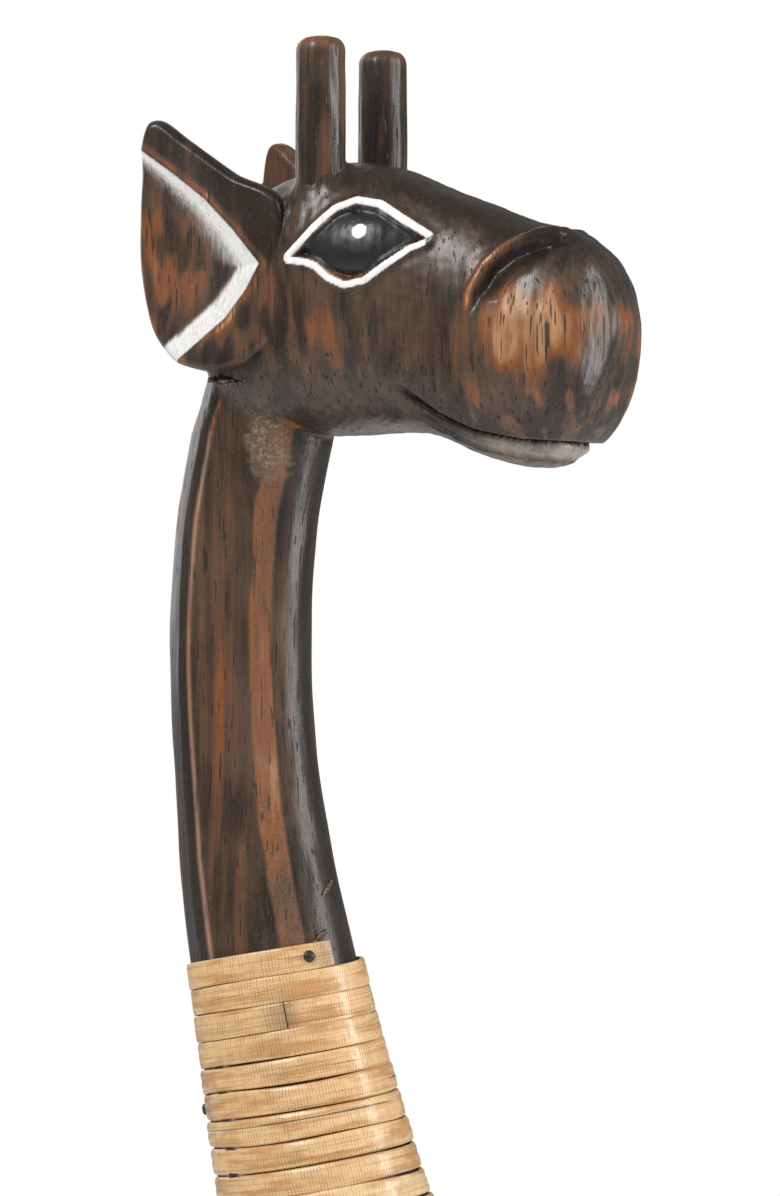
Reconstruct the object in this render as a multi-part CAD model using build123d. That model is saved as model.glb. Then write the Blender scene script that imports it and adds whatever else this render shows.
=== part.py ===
"""Standing giraffe statue, about 1 m tall: carved albesia wood, glued up from separate blocks
with dowels, its lower neck bound with flat rattan strips that hide the neck-to-body joint.

Frame: +Z up, +X the way the giraffe faces, +Y its left side. Millimetres.
The origin is on the floor, under the middle of the statue's bounding box.
Until place_all() moves it there, X is counted from the slimmest part of the neck.
"""
import os
from math import ceil, cos, pi, radians, sin

from build123d import *

# ---- driving sizes -------------------------------------------------------------------------
LEG_LENGTH = 458.0          # floor to the seam under each shoulder and thigh stump
STUMP_RISE = 83.0           # leg seam up to the middle of the body
SHOULDER_RISE = 105.0       # middle of the body up to the neck seam
NECK_LENGTH = 240.0         # neck seam to head seam
BODY_WIDTH = 94.0           # barrel, at its widest
STANCE_WIDTH = 78.0         # between the middles of a left and a right hoof
HEAD_WIDTH = 61.0           # across the eyes

HORN_LENGTH = 58.0          # with the part that is in its socket
HORN_RADIUS = 7.4
HORN_INSET = 12.5           # from the side of the head in to a horn's middle
HORN_TOP_ROUND = 4.0

MOUTH_DEPTH = 3.5
MOUTH_GAP = 2.0
EYE_RIM = 1.6               # width of the hollow round each eyeball

EAR_THICKNESS = 8.5
EAR_SWEEP = 14.0            # degrees that each ear turns outward from straight back
EAR_SCOOP = 3.2             # depth of the carved hollow

DOWEL_RADIUS = 8.0          # head and neck dowels
DOWEL_DEPTH = 32.0          # into each of the two pieces
LEG_DOWEL_RADIUS = 5.0
LEG_DOWEL_DEPTH = 26.0
EAR_PEG_RADIUS = 2.5
EAR_PEG_DEPTH = 9.0         # into the head, from the ear's middle
TAIL_PEG_RADIUS = 3.0
TAIL_PEG_DEPTH = 15.0
GLUE_GAP = 0.05             # round each peg and dowel

STRIP_WIDTH = 7.5
STRIP_THICKNESS = 1.2
STRIP_GAP = 0.2             # between one turn and the next
STRIP_LIFT = 0.55           # under the strip, over the wood
WRAP_HEIGHT = 115.0         # bound length of neck and shoulder
WRAP_BELOW_SEAM = 32.0      # how far the lowest turn's middle is under the neck seam
WRAP_TILT = 0.13            # rise of a turn towards the front, per mm of X
WRAP_START = -20.0          # degrees round from the front where the top end lies
STRIP_COUNT = 5
FIRST_STRIP_SHARE = 0.66    # the top strip is shorter than the others
STRIP_STEPS = 30            # sections per turn

TACK_SHANK_RADIUS = 0.7
TACK_HEAD_RADIUS = 1.8
TACK_HEAD_HEIGHT = 0.8
TACK_LENGTH = 9.0
TACK_INSET = 10.0           # from a strip's end
TACK_SEAT_GAP = 0.15        # under a tack's flat head, over the curved strip

SECTION_STEP = 8.0          # spacing of the sections that a long carved piece is lofted through

# ---- levels that follow from them ----------------------------------------------------------
LEG_SEAM_Z = LEG_LENGTH
BODY_Z = LEG_SEAM_Z + STUMP_RISE
NECK_SEAM_Z = BODY_Z + SHOULDER_RISE
HEAD_SEAM_Z = NECK_SEAM_Z + NECK_LENGTH
WRAP_PITCH = STRIP_WIDTH + STRIP_GAP
WRAP_TOP_Z = NECK_SEAM_Z - WRAP_BELOW_SEAM + WRAP_HEIGHT
TURNS = WRAP_HEIGHT / WRAP_PITCH
BODY_HALF = BODY_WIDTH / 2
HEAD_HALF = HEAD_WIDTH / 2

# ---- carved outlines, as stations ----------------------------------------------------------
# Neck: share of its length above the neck seam, middle x, half depth, half width.
NECK = [
    (0.00, 32.5, 33.5, 29.0),
    (0.09, 26.2, 30.8, 26.4),
    (0.24, 17.0, 27.8, 23.2),
    (0.43, 7.1, 25.0, 20.4),
    (0.58, 1.8, 22.9, 18.6),
    (0.73, -0.4, 22.5, 18.2),
    (0.88, 1.8, 22.5, 18.0),
    (1.00, 7.6, 22.6, 18.4),
]
# Shoulder below the neck seam: share of SHOULDER_RISE above the middle of the body, then as above.
SHOULDER = [
    (0.10, 41.0, 48.0, 40.0),
    (0.42, 43.5, 43.5, 36.5),
    (0.70, 40.0, 38.0, 32.8),
    (1.00, 32.5, 33.5, 29.0),
]
# Nape under the skull: height above the head seam, then as above.
NAPE = [
    (0.0, 7.6, 22.6, 18.4),
    (14.0, 13.0, 23.0, 19.0),
    (30.0, 18.0, 23.0, 20.0),
    (42.0, 21.0, 21.0, 19.0),
]
# Barrel: x, middle height over BODY_Z, half height, share of BODY_HALF.
BARREL = [
    (-149.0, 8.0, 9.0, 0.20),
    (-144.0, 6.0, 27.0, 0.52),
    (-126.0, 3.0, 43.0, 0.80),
    (-94.0, -1.0, 51.0, 0.95),
    (-48.0, -3.0, 54.0, 0.99),
    (0.0, 0.0, 58.0, 1.00),
    (44.0, 3.0, 58.0, 0.95),
    (72.0, 5.0, 46.0, 0.76),
    (87.0, 6.0, 27.0, 0.48),
    (92.0, 6.0, 9.0, 0.18),
]
# Skull and muzzle: x, top and bottom over the head seam, share of HEAD_HALF.
SKULL = [
    (-14.0, 52.0, 34.0, 0.30),
    (-8.0, 60.0, 20.0, 0.60),
    (6.0, 67.0, 4.0, 0.84),
    (22.0, 74.5, -1.0, 0.96),
    (40.0, 78.5, -1.5, 1.00),
    (56.0, 76.0, -1.0, 0.95),
    (70.0, 70.0, -2.5, 0.84),
    (85.0, 64.5, -8.5, 0.81),
    (99.0, 59.0, -12.0, 0.87),
    (111.0, 56.0, -10.5, 0.86),
    (121.0, 50.0, -2.0, 0.70),
    (126.5, 41.0, 11.0, 0.44),
    (129.0, 32.0, 22.0, 0.20),
]
SKULL_SQUARENESS = 2.6      # 2 is an ellipse, more is squarer
MUZZLE_SQUARENESS = 2.15
MUZZLE_X = 95.0             # the muzzle's roundness starts here
# Ear, seen from its open side: distance out from its root line, height over the head seam.
EAR = [
    (-3.0, 65.0), (12.0, 74.5), (26.0, 84.5), (34.5, 90.5), (39.0, 89.0), (41.5, 78.0),
    (42.8, 60.0), (42.3, 45.0), (39.0, 30.0), (33.0, 21.5), (26.0, 18.0), (15.0, 16.5), (5.0, 21.0),
    (-3.0, 30.0),
]
EAR_HOLLOW = [(5.0, 48.0), (24.0, 69.0), (44.0, 80.0), (44.0, 24.0), (31.0, 20.0), (14.0, 33.0)]
# Mouth: x and height over the head seam, from its corner to the front of the lips.
MOUTH = [(66.0, 12.5), (78.0, 4.5), (91.0, -1.5), (105.0, -5.0), (135.0, -6.0)]
EYE_AT = (57.0, HEAD_HALF - 3.5, 54.0)      # x, from the middle plane, over the head seam
EYE_BALL = (17.0, 9.0, 9.5)         # half sizes of the eyeball
EYE_BALL_IN = 7.2                   # its middle is this far inside the hollow's middle
NOSTRIL_AT = (108.0, HEAD_HALF - 6.0, 37.0)
NOSTRIL_RING = (14.0, 2.2)          # its arc's radius, and the groove's
EAR_ROOT = (27.0, HEAD_HALF - 5.0)      # x and distance from the middle plane
EAR_PEG_AT = (11.0, 40.0)   # out from the root line, height over the head seam
HORN_X = 38.0
HORN_FOOT = 56.0            # socket floor over the head seam
# Legs: share of the leg's length up from the floor, middle x, half depth, half width.
FORELEG = [
    (0.00, 60.0, 17.0, 14.5),
    (0.02, 60.0, 17.5, 15.0),
    (0.065, 58.0, 14.0, 12.5),
    (0.10, 56.5, 11.0, 10.2),
    (0.20, 56.0, 10.4, 9.6),
    (0.36, 56.0, 10.6, 9.8),
    (0.49, 57.5, 14.2, 12.6),
    (0.56, 57.0, 14.0, 12.4),
    (0.68, 55.0, 12.8, 11.8),
    (0.86, 53.0, 17.0, 14.6),
    (1.00, 51.0, 22.5, 17.0),
]
FORE_STUMP = [(0.0, 51.0, 22.5, 17.0), (0.45, 47.0, 29.0, 18.5), (0.80, 43.0, 28.0, 15.0)]
HINDLEG = [
    (0.00, -103.0, 17.0, 14.5),
    (0.02, -103.0, 17.5, 15.0),
    (0.065, -105.0, 14.0, 12.5),
    (0.10, -107.0, 11.0, 10.2),
    (0.22, -110.0, 10.4, 9.6),
    (0.38, -113.0, 10.8, 9.8),
    (0.50, -116.0, 14.6, 12.4),
    (0.57, -114.5, 14.6, 12.4),
    (0.68, -108.0, 15.0, 12.8),
    (0.86, -101.0, 22.0, 16.0),
    (1.00, -97.0, 28.5, 18.0),
]
HIND_STUMP = [(0.0, -97.0, 28.5, 18.0), (0.45, -95.0, 34.0, 19.0), (0.80, -93.0, 31.0, 15.0)]
HIP_SPACING = 62.0          # between the middles of a left and a right stump at the leg seam
STUMP_SPACING_IN = 10.0     # how far each stump leans in by its top
# Tail: height over BODY_Z, middle x, radius.
TAIL = [
    (-96.0, -153.0, 3.0),
    (-88.0, -154.0, 7.5),
    (-70.0, -156.0, 8.5),
    (-52.0, -157.5, 5.0),
    (-20.0, -158.5, 4.0),
    (10.0, -157.0, 4.4),
    (24.0, -153.0, 5.0),
]
TAIL_PEG_RISE = 16.0        # peg's height over BODY_Z


def at(stations, value):
    """The station's sizes at value: a smooth curve through the stations, held flat past the ends."""
    if value <= stations[0][0]:
        return stations[0][1:]
    if value >= stations[-1][0]:
        return stations[-1][1:]
    i = max(k for k in range(len(stations) - 1) if stations[k][0] <= value)
    low, high = stations[i], stations[i + 1]
    span = high[0] - low[0]
    t = (value - low[0]) / span

    def slope(k, column):
        before, after = stations[max(k - 1, 0)], stations[min(k + 1, len(stations) - 1)]
        return (after[column] - before[column]) / (after[0] - before[0]) * span

    return tuple(
        (2 * t**3 - 3 * t**2 + 1) * low[c]
        + (t**3 - 2 * t**2 + t) * slope(i, c)
        + (3 * t**2 - 2 * t**3) * high[c]
        + (t**3 - t**2) * slope(i + 1, c)
        for c in range(1, len(low))
    )


def steps(low, high):
    """Even steps of about SECTION_STEP from low to high."""
    count = max(2, ceil(abs(high - low) / SECTION_STEP))
    return [low + (high - low) * k / count for k in range(count + 1)]


def upright(heights, sizes_at, side_at=lambda z: 0.0):
    """A carved upright piece: level ellipses lofted through heights."""
    sections = []
    for z in heights:
        x, depth, width = sizes_at(z)
        sections.append(Pos(x, side_at(z), z) * Ellipse(depth, width))
    return loft(sections)


def neck_sizes(z):
    """Middle x, half depth and half width of neck and shoulder at height z."""
    if z >= NECK_SEAM_Z:
        return at(NECK, (z - NECK_SEAM_Z) / NECK_LENGTH)
    return at(SHOULDER, (z - BODY_Z) / SHOULDER_RISE)


def dowel(radius, half_length, x, y, z):
    """An upright dowel centred on a seam, and the hole that takes it."""
    spot = Pos(x, y, z)
    return spot * Cylinder(radius, 2 * half_length), spot * Cylinder(radius + GLUE_GAP, 2 * half_length)


def make_neck():
    return upright(steps(NECK_SEAM_Z, HEAD_SEAM_Z), neck_sizes)


def make_barrel():
    sections = []
    for x, rise, half_height, share in BARREL:
        plane = Plane((x, 0, BODY_Z + rise), x_dir=(0, 1, 0), z_dir=(1, 0, 0))
        sections.append(plane * Ellipse(share * BODY_HALF, half_height))
    return loft(sections)


def side_at(side, z):
    """Y of a leg's middle: from the hoof's stance in to the hip, then further in up the stump."""
    share = z / LEG_SEAM_Z
    if share <= 1:
        return side * (STANCE_WIDTH + (HIP_SPACING - STANCE_WIDTH) * share) / 2
    return side * (HIP_SPACING / 2 - STUMP_SPACING_IN * (z - LEG_SEAM_Z) / STUMP_RISE)


def make_leg(stations, side):
    heights = [share * LEG_LENGTH for share, *_ in stations]
    return upright(heights, lambda z: at(stations, z / LEG_LENGTH), lambda z: side_at(side, z))


def make_stump(stations, side):
    heights = [LEG_SEAM_Z + share * STUMP_RISE for share, *_ in stations]
    return upright(
        heights, lambda z: at(stations, (z - LEG_SEAM_Z) / STUMP_RISE), lambda z: side_at(side, z)
    )


def make_torso():
    low = BODY_Z + SHOULDER[0][0] * SHOULDER_RISE
    torso = make_barrel() + upright(steps(low, NECK_SEAM_Z), neck_sizes)
    for stations in (FORE_STUMP, HIND_STUMP):
        for side in (-1, 1):
            torso += make_stump(stations, side)
    return torso


def skull_section(x, top, bottom, share):
    """A closed superellipse across the head at x."""
    middle, half_height = HEAD_SEAM_Z + (top + bottom) / 2, (top - bottom) / 2
    power = 2 / (MUZZLE_SQUARENESS if x > MUZZLE_X else SKULL_SQUARENESS)
    points = []
    for k in range(24):
        c, s = cos(2 * pi * k / 24), sin(2 * pi * k / 24)
        y = share * HEAD_HALF * abs(c) ** power * (1 if c >= 0 else -1)
        z = middle + half_height * abs(s) ** power * (1 if s >= 0 else -1)
        points.append((x, y, z))
    return Face(Wire(Spline(*points, periodic=True)))


def ellipsoid(centre, halves):
    return Pos(*centre) * scale(Sphere(1.0), tuple(halves))


def carve_mouth(skull):
    """A groove round the lips: a thin sheet cut, but only MOUTH_DEPTH deep."""
    line = [(x, HEAD_SEAM_Z + rise) for x, rise in MOUTH]
    lower = [(x, z - MOUTH_GAP) for x, z in reversed(line[1:])]
    face = Plane.XZ * make_face(Polyline(*line, *lower, close=True))
    core = loft([
        skull_section(x, top - MOUTH_DEPTH, bottom + MOUTH_DEPTH, share - MOUTH_DEPTH / HEAD_HALF)
        for x, top, bottom, share in SKULL[1:-1]
    ])
    return skull - (extrude(face, HEAD_WIDTH, both=True) - core)


def carve_face(skull, side):
    """An eye, as a hollow with a bulging ball in it, and an arched nostril."""
    x, y, rise = EYE_AT
    long, deep, high = EYE_BALL
    hollow = ellipsoid((x, side * y, HEAD_SEAM_Z + rise), (long + EYE_RIM, deep / 2, high + EYE_RIM))
    ball = ellipsoid((x, side * (y - EYE_BALL_IN), HEAD_SEAM_Z + rise), EYE_BALL)
    skull = skull - hollow + ball
    x, y, rise = NOSTRIL_AT
    ring, groove = NOSTRIL_RING
    arch = Pos(x, side * y, HEAD_SEAM_Z + rise) * Rot(90, 0, 0) * Torus(ring, groove)
    below = Pos(x + ring, side * y, HEAD_SEAM_Z + rise - ring) * Box(3 * ring, ring, 2 * ring)
    return skull - (arch - below)


def make_head():
    skull = carve_mouth(loft([skull_section(*station) for station in SKULL]))
    for side in (-1, 1):
        skull = carve_face(skull, side)
    heights = [HEAD_SEAM_Z + rise for rise, *_ in NAPE]
    nape = upright(heights, lambda z: at(NAPE, z - HEAD_SEAM_Z))
    under_nape = Pos(NAPE[0][1], 0, HEAD_SEAM_Z - 20) * Box(2.2 * NAPE[0][2], HEAD_WIDTH, 40)
    return skull - under_nape + nape


def ear_plane(side):
    """The ear's middle plane: its x runs outward from the root line, its y is up."""
    turn = radians(EAR_SWEEP)
    out = Vector(-cos(turn), side * sin(turn), 0)
    facing = out.cross(Vector(0, 0, 1))
    return Plane((EAR_ROOT[0], side * EAR_ROOT[1], HEAD_SEAM_Z), x_dir=out, z_dir=facing)


def make_ear(side):
    """A fan-shaped plate with a hollow carved in its open face, which looks outward."""
    plane = ear_plane(side)
    outline = Spline(*EAR) + Line(EAR[-1], EAR[0])
    plate = extrude(plane * make_face(outline), EAR_THICKNESS / 2, both=True)
    open_side = EAR_THICKNESS / 2 * (1 if plane.z_dir.Y * side > 0 else -1)
    hollow = extrude(
        plane * Pos(0, 0, open_side) * make_face(Polyline(*EAR_HOLLOW, close=True)), EAR_SCOOP, both=True
    )
    return plate - hollow


def ear_peg(side, extra=0.0):
    """A peg square to the ear, from inside its thickness into the skull."""
    plane = ear_plane(side)
    inward = Align.MAX if plane.z_dir.Y * side > 0 else Align.MIN
    peg = Cylinder(EAR_PEG_RADIUS + extra, EAR_PEG_DEPTH, align=(Align.CENTER, Align.CENTER, inward))
    return plane * Pos(*EAR_PEG_AT, 0) * peg


def make_horn(side, extra=0.0):
    peg = Cylinder(
        HORN_RADIUS + extra, HORN_LENGTH, align=(Align.CENTER, Align.CENTER, Align.MIN)
    )
    if not extra:
        peg = fillet(peg.edges().group_by(Axis.Z)[-1], HORN_TOP_ROUND)
    return Pos(HORN_X, side * (HEAD_HALF - HORN_INSET), HEAD_SEAM_Z + HORN_FOOT) * peg


def make_tail():
    heights = [BODY_Z + rise for rise, *_ in TAIL]
    return upright(heights, lambda z: (at(TAIL, z - BODY_Z)[0],) + (at(TAIL, z - BODY_Z)[1],) * 2)


def tail_peg(extra=0.0):
    x, radius = at(TAIL, TAIL_PEG_RISE)
    spot = Pos(x, 0, BODY_Z + TAIL_PEG_RISE) * Rot(0, 90, 0)
    peg = Cylinder(
        TAIL_PEG_RADIUS + extra,
        radius + TAIL_PEG_DEPTH,
        align=(Align.CENTER, Align.CENTER, Align.MIN),
    )
    return spot * peg


# ---- rattan binding ------------------------------------------------------------------------
def wrap_plane(turn, lift):
    """Cross-section plane of the binding, turn turns down from its top end.

    Its x goes up the neck, its y out of the wood; its origin is lift above the wood.
    """
    def on_wood(turn, above=0.0):
        angle = radians(WRAP_START) - 2 * pi * turn
        level = WRAP_TOP_Z - WRAP_PITCH * turn
        z = level + WRAP_TILT * neck_sizes(level)[1] * cos(angle) + above
        x, depth, width = neck_sizes(z)
        return Vector(x + depth * cos(angle), width * sin(angle), z)

    along = on_wood(turn - 0.002) - on_wood(turn + 0.002)
    up = on_wood(turn, 0.5) - on_wood(turn, -0.5)
    out = along.cross(up).normalized()
    return Plane(on_wood(turn) + out * lift, x_dir=out.cross(along), z_dir=along)


def strip_turns():
    """Where each strip starts and ends, in turns: a short strip at the top, then equal ones."""
    per_strip = TURNS / (STRIP_COUNT - 1 + FIRST_STRIP_SHARE)
    ends = [0.0] + [per_strip * (FIRST_STRIP_SHARE + k) for k in range(STRIP_COUNT)]
    gap = STRIP_GAP / (2 * pi * NECK[0][2])
    return [(a + gap, b - gap) for a, b in zip(ends, ends[1:])]


def make_strip(start, end):
    """One rattan strip, wound down the neck, as a loft of its own cross-sections."""
    count = ceil((end - start) * STRIP_STEPS)
    sections = []
    for k in range(count + 1):
        turn = start + (end - start) * k / count
        plane = wrap_plane(turn, STRIP_LIFT + STRIP_THICKNESS / 2)
        sections.append(plane * Rectangle(STRIP_WIDTH, STRIP_THICKNESS))
    return loft(sections)


def tack_at(turn):
    """A small nail that holds a strip's end, and the hole that takes its shank."""
    plane = wrap_plane(turn, STRIP_LIFT + STRIP_THICKNESS + TACK_SEAT_GAP)
    seat = Plane(plane.origin, z_dir=plane.y_dir)
    centred = (Align.CENTER, Align.CENTER)
    shank = Cylinder(TACK_SHANK_RADIUS, TACK_LENGTH, align=(*centred, Align.MAX))
    head = Cylinder(TACK_HEAD_RADIUS, TACK_HEAD_HEIGHT, align=(*centred, Align.MIN))
    hole = Cylinder(TACK_SHANK_RADIUS + GLUE_GAP, 2 * TACK_LENGTH + GLUE_GAP)
    return seat * (shank + head), seat * hole


def make_tacks(turns):
    """A tack for the top end of each strip but the second, and one for the binding's lower end."""
    spots = [start for number, (start, _) in enumerate(turns) if number != 1] + [turns[-1][1]]
    tacks = []
    for spot in spots:
        _, depth, width = neck_sizes(WRAP_TOP_Z - WRAP_PITCH * spot)
        inset = TACK_INSET / (pi * (depth + width))
        tacks.append(tack_at(spot + (inset if spot < turns[-1][1] else -inset)))
    return tacks


# ---- the whole statue ----------------------------------------------------------------------
def make_all():
    parts = {}
    head, neck, torso = make_head(), make_neck(), make_torso()

    neck_x, root_x = NAPE[0][1], NECK[0][1]
    parts["head_dowel"], head_hole = dowel(DOWEL_RADIUS, DOWEL_DEPTH, neck_x, 0, HEAD_SEAM_Z)
    parts["neck_dowel"], neck_hole = dowel(DOWEL_RADIUS, DOWEL_DEPTH, root_x, 0, NECK_SEAM_Z)
    head -= head_hole

    pegs = []
    for side, name in ((-1, "right"), (1, "left")):
        parts[f"horn_{name}"] = make_horn(side)
        parts[f"ear_{name}"] = make_ear(side) - head - ear_peg(side, GLUE_GAP)
        pegs.append(ear_peg(side))
    for side in (-1, 1):
        head = head - make_horn(side, GLUE_GAP) - ear_peg(side, GLUE_GAP)
    parts["ear_pegs"] = pegs
    parts["head"] = head

    leg_dowels = []
    for stations, name in ((FORELEG, "foreleg"), (HINDLEG, "hindleg")):
        for side, hand in ((-1, "right"), (1, "left")):
            x, y = stations[-1][1], side_at(side, LEG_SEAM_Z)
            pin, hole = dowel(LEG_DOWEL_RADIUS, LEG_DOWEL_DEPTH, x, y, LEG_SEAM_Z)
            parts[f"{name}_{hand}"] = make_leg(stations, side) - hole
            torso -= hole
            leg_dowels.append(pin)
    parts["leg_dowels"] = leg_dowels

    parts["tail"] = make_tail() - torso + tail_peg()
    torso = torso - neck_hole - tail_peg(GLUE_GAP)
    neck = neck - neck_hole - head_hole

    turns = strip_turns()
    tacks = make_tacks(turns)
    parts["strip_tacks"] = [tack for tack, _ in tacks]
    holes = [hole for _, hole in tacks]
    neck -= holes
    torso -= holes
    for number, (start, end) in enumerate(turns, 1):
        parts[f"rattan_strip_{number}"] = make_strip(start, end) - holes
    parts["neck"] = neck
    parts["torso"] = torso
    return parts


def place_all(parts):
    """Moves everything so that the origin is on the floor under the middle of the box."""
    groups = {name: part if isinstance(part, list) else [part] for name, part in parts.items()}
    solids = {name: [s for piece in group for s in piece.solids()] for name, group in groups.items()}
    box = Compound([s for group in solids.values() for s in group]).bounding_box()
    shift = Pos(-(box.min.X + box.max.X) / 2, -(box.min.Y + box.max.Y) / 2, -box.min.Z)
    return {
        name: shift * (group[0] if len(group) == 1 else Compound(group))
        for name, group in solids.items()
    }


if __name__ == "__main__":
    os.makedirs("parts", exist_ok=True)
    for name, shape in place_all(make_all()).items():
        export_step(shape, f"parts/{name}.step")
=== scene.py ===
from math import cos, pi, radians, sin

import bpy
import numpy as np
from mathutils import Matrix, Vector


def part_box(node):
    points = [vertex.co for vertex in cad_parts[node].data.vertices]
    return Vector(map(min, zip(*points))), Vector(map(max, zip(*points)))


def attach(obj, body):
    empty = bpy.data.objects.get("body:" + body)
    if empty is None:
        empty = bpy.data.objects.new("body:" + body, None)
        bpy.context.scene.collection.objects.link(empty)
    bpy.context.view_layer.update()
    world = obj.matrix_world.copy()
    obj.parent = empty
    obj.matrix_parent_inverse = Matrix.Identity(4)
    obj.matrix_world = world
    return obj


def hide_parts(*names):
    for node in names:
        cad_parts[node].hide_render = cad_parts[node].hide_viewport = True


# Looks of the standing carved giraffe. Lengths are millimetres until a mesh is made.
# Every piece is laid out from the same stations as the solid part, so it stays in its place.

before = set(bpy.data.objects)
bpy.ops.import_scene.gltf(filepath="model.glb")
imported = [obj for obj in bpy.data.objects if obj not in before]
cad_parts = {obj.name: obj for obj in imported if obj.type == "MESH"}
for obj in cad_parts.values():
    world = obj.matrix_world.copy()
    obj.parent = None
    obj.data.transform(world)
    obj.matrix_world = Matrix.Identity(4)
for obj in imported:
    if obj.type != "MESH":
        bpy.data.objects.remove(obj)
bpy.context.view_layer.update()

MM = 0.001
ROOT = "root"
UP = np.array([0, 0, 1.0])

# ---- places taken from the solid part ----
HORN_X = 38.0               # x of the horns when x is counted from the neck's slimmest part
HORN_OUT = 18.0              # each horn, from the middle plane


def node_box(name):
    """Low and high corner of a CAD piece."""
    low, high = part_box(name)
    return np.array(low) / MM, np.array(high) / MM


SHIFT = sum(box[0] for box in node_box("horn_right")) / 2 - HORN_X
HEAD_SEAM_Z = node_box("neck")[1][2]
NECK_SEAM_Z = node_box("neck")[0][2]
LEG_SEAM_Z = node_box("foreleg_right")[1][2]
TOP_Z = node_box("horn_right")[1][2]
NECK_LENGTH = HEAD_SEAM_Z - NECK_SEAM_Z
SHOULDER_RISE = 105.0
BODY_Z = NECK_SEAM_Z - SHOULDER_RISE
STUMP_RISE = BODY_Z - LEG_SEAM_Z
BODY_HALF = 47.0
HEAD_HALF = 30.5
STANCE_WIDTH = 78.0
HIP_SPACING = 62.0
STUMP_SPACING_IN = 10.0

# ---- carved outlines: the same stations as the solid part ----
NECK = [
    (0.00, 32.5, 33.5, 29.0),
    (0.09, 26.2, 30.8, 26.4),
    (0.24, 17.0, 27.8, 23.2),
    (0.43, 7.1, 25.0, 20.4),
    (0.58, 1.8, 22.9, 18.6),
    (0.73, -0.4, 22.5, 18.2),
    (0.88, 1.8, 22.5, 18.0),
    (1.00, 7.6, 22.6, 18.4),
]
SHOULDER = [
    (0.10, 41.0, 48.0, 40.0),
    (0.42, 43.5, 43.5, 36.5),
    (0.70, 40.0, 38.0, 32.8),
    (1.00, 32.5, 33.5, 29.0),
]
NAPE = [
    (0.0, 7.6, 22.6, 18.4),
    (14.0, 13.0, 23.0, 19.0),
    (30.0, 18.0, 23.0, 20.0),
    (42.0, 21.0, 21.0, 19.0),
]
BARREL = [
    (-149.0, 8.0, 9.0, 0.20),
    (-144.0, 6.0, 27.0, 0.52),
    (-126.0, 3.0, 43.0, 0.80),
    (-94.0, -1.0, 51.0, 0.95),
    (-48.0, -3.0, 54.0, 0.99),
    (0.0, 0.0, 58.0, 1.00),
    (44.0, 3.0, 58.0, 0.95),
    (72.0, 5.0, 46.0, 0.76),
    (87.0, 6.0, 27.0, 0.48),
    (92.0, 6.0, 9.0, 0.18),
]
SKULL = [
    (-14.0, 52.0, 34.0, 0.30),
    (-8.0, 60.0, 20.0, 0.60),
    (6.0, 67.0, 4.0, 0.84),
    (22.0, 74.5, -1.0, 0.96),
    (40.0, 78.5, -1.5, 1.00),
    (56.0, 76.0, -1.0, 0.95),
    (70.0, 70.0, -2.5, 0.84),
    (85.0, 64.5, -8.5, 0.81),
    (99.0, 59.0, -12.0, 0.87),
    (111.0, 56.0, -10.5, 0.86),
    (121.0, 50.0, -2.0, 0.70),
    (126.5, 41.0, 11.0, 0.44),
    (129.0, 32.0, 22.0, 0.20),
]
SKULL_SQUARENESS = 2.6
MUZZLE_SQUARENESS = 2.15
EAR = [
    (-3.0, 65.0), (12.0, 74.5), (26.0, 84.5), (34.5, 90.5), (39.0, 89.0), (41.5, 78.0),
    (42.8, 60.0), (42.3, 45.0), (39.0, 30.0), (33.0, 21.5), (26.0, 18.0), (15.0, 16.5), (5.0, 21.0),
    (-3.0, 30.0),
]
EAR_ROOT = (27.0, 25.5)
EAR_SWEEP = 14.0
EAR_THICKNESS = 8.5
MOUND_AT = (-6.0, 44.0, -1.2)       # out along the ear, up, and towards its open face
MOUND_SIZE = (13.0, 5.0, 25.0)
FORELEG = [
    (0.00, 60.0, 17.0, 14.5),
    (0.02, 60.0, 17.5, 15.0),
    (0.065, 58.0, 14.0, 12.5),
    (0.10, 56.5, 11.0, 10.2),
    (0.20, 56.0, 10.4, 9.6),
    (0.36, 56.0, 10.6, 9.8),
    (0.49, 57.5, 14.2, 12.6),
    (0.56, 57.0, 14.0, 12.4),
    (0.68, 55.0, 12.8, 11.8),
    (0.86, 53.0, 17.0, 14.6),
    (1.00, 51.0, 22.5, 17.0),
]
FORE_STUMP = [(0.0, 51.0, 22.5, 17.0), (0.45, 47.0, 29.0, 18.5), (0.80, 43.0, 28.0, 15.0)]
HINDLEG = [
    (0.00, -103.0, 17.0, 14.5),
    (0.02, -103.0, 17.5, 15.0),
    (0.065, -105.0, 14.0, 12.5),
    (0.10, -107.0, 11.0, 10.2),
    (0.22, -110.0, 10.4, 9.6),
    (0.38, -113.0, 10.8, 9.8),
    (0.50, -116.0, 14.6, 12.4),
    (0.57, -114.5, 14.6, 12.4),
    (0.68, -108.0, 15.0, 12.8),
    (0.86, -101.0, 22.0, 16.0),
    (1.00, -97.0, 28.5, 18.0),
]
HIND_STUMP = [(0.0, -97.0, 28.5, 18.0), (0.45, -95.0, 34.0, 19.0), (0.80, -93.0, 31.0, 15.0)]
TAIL = [
    (-96.0, -153.0, 3.0),
    (-88.0, -154.0, 7.5),
    (-70.0, -156.0, 8.5),
    (-52.0, -157.5, 5.0),
    (-20.0, -158.5, 4.0),
    (10.0, -157.0, 4.4),
    (24.0, -153.0, 5.0),
]

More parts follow.
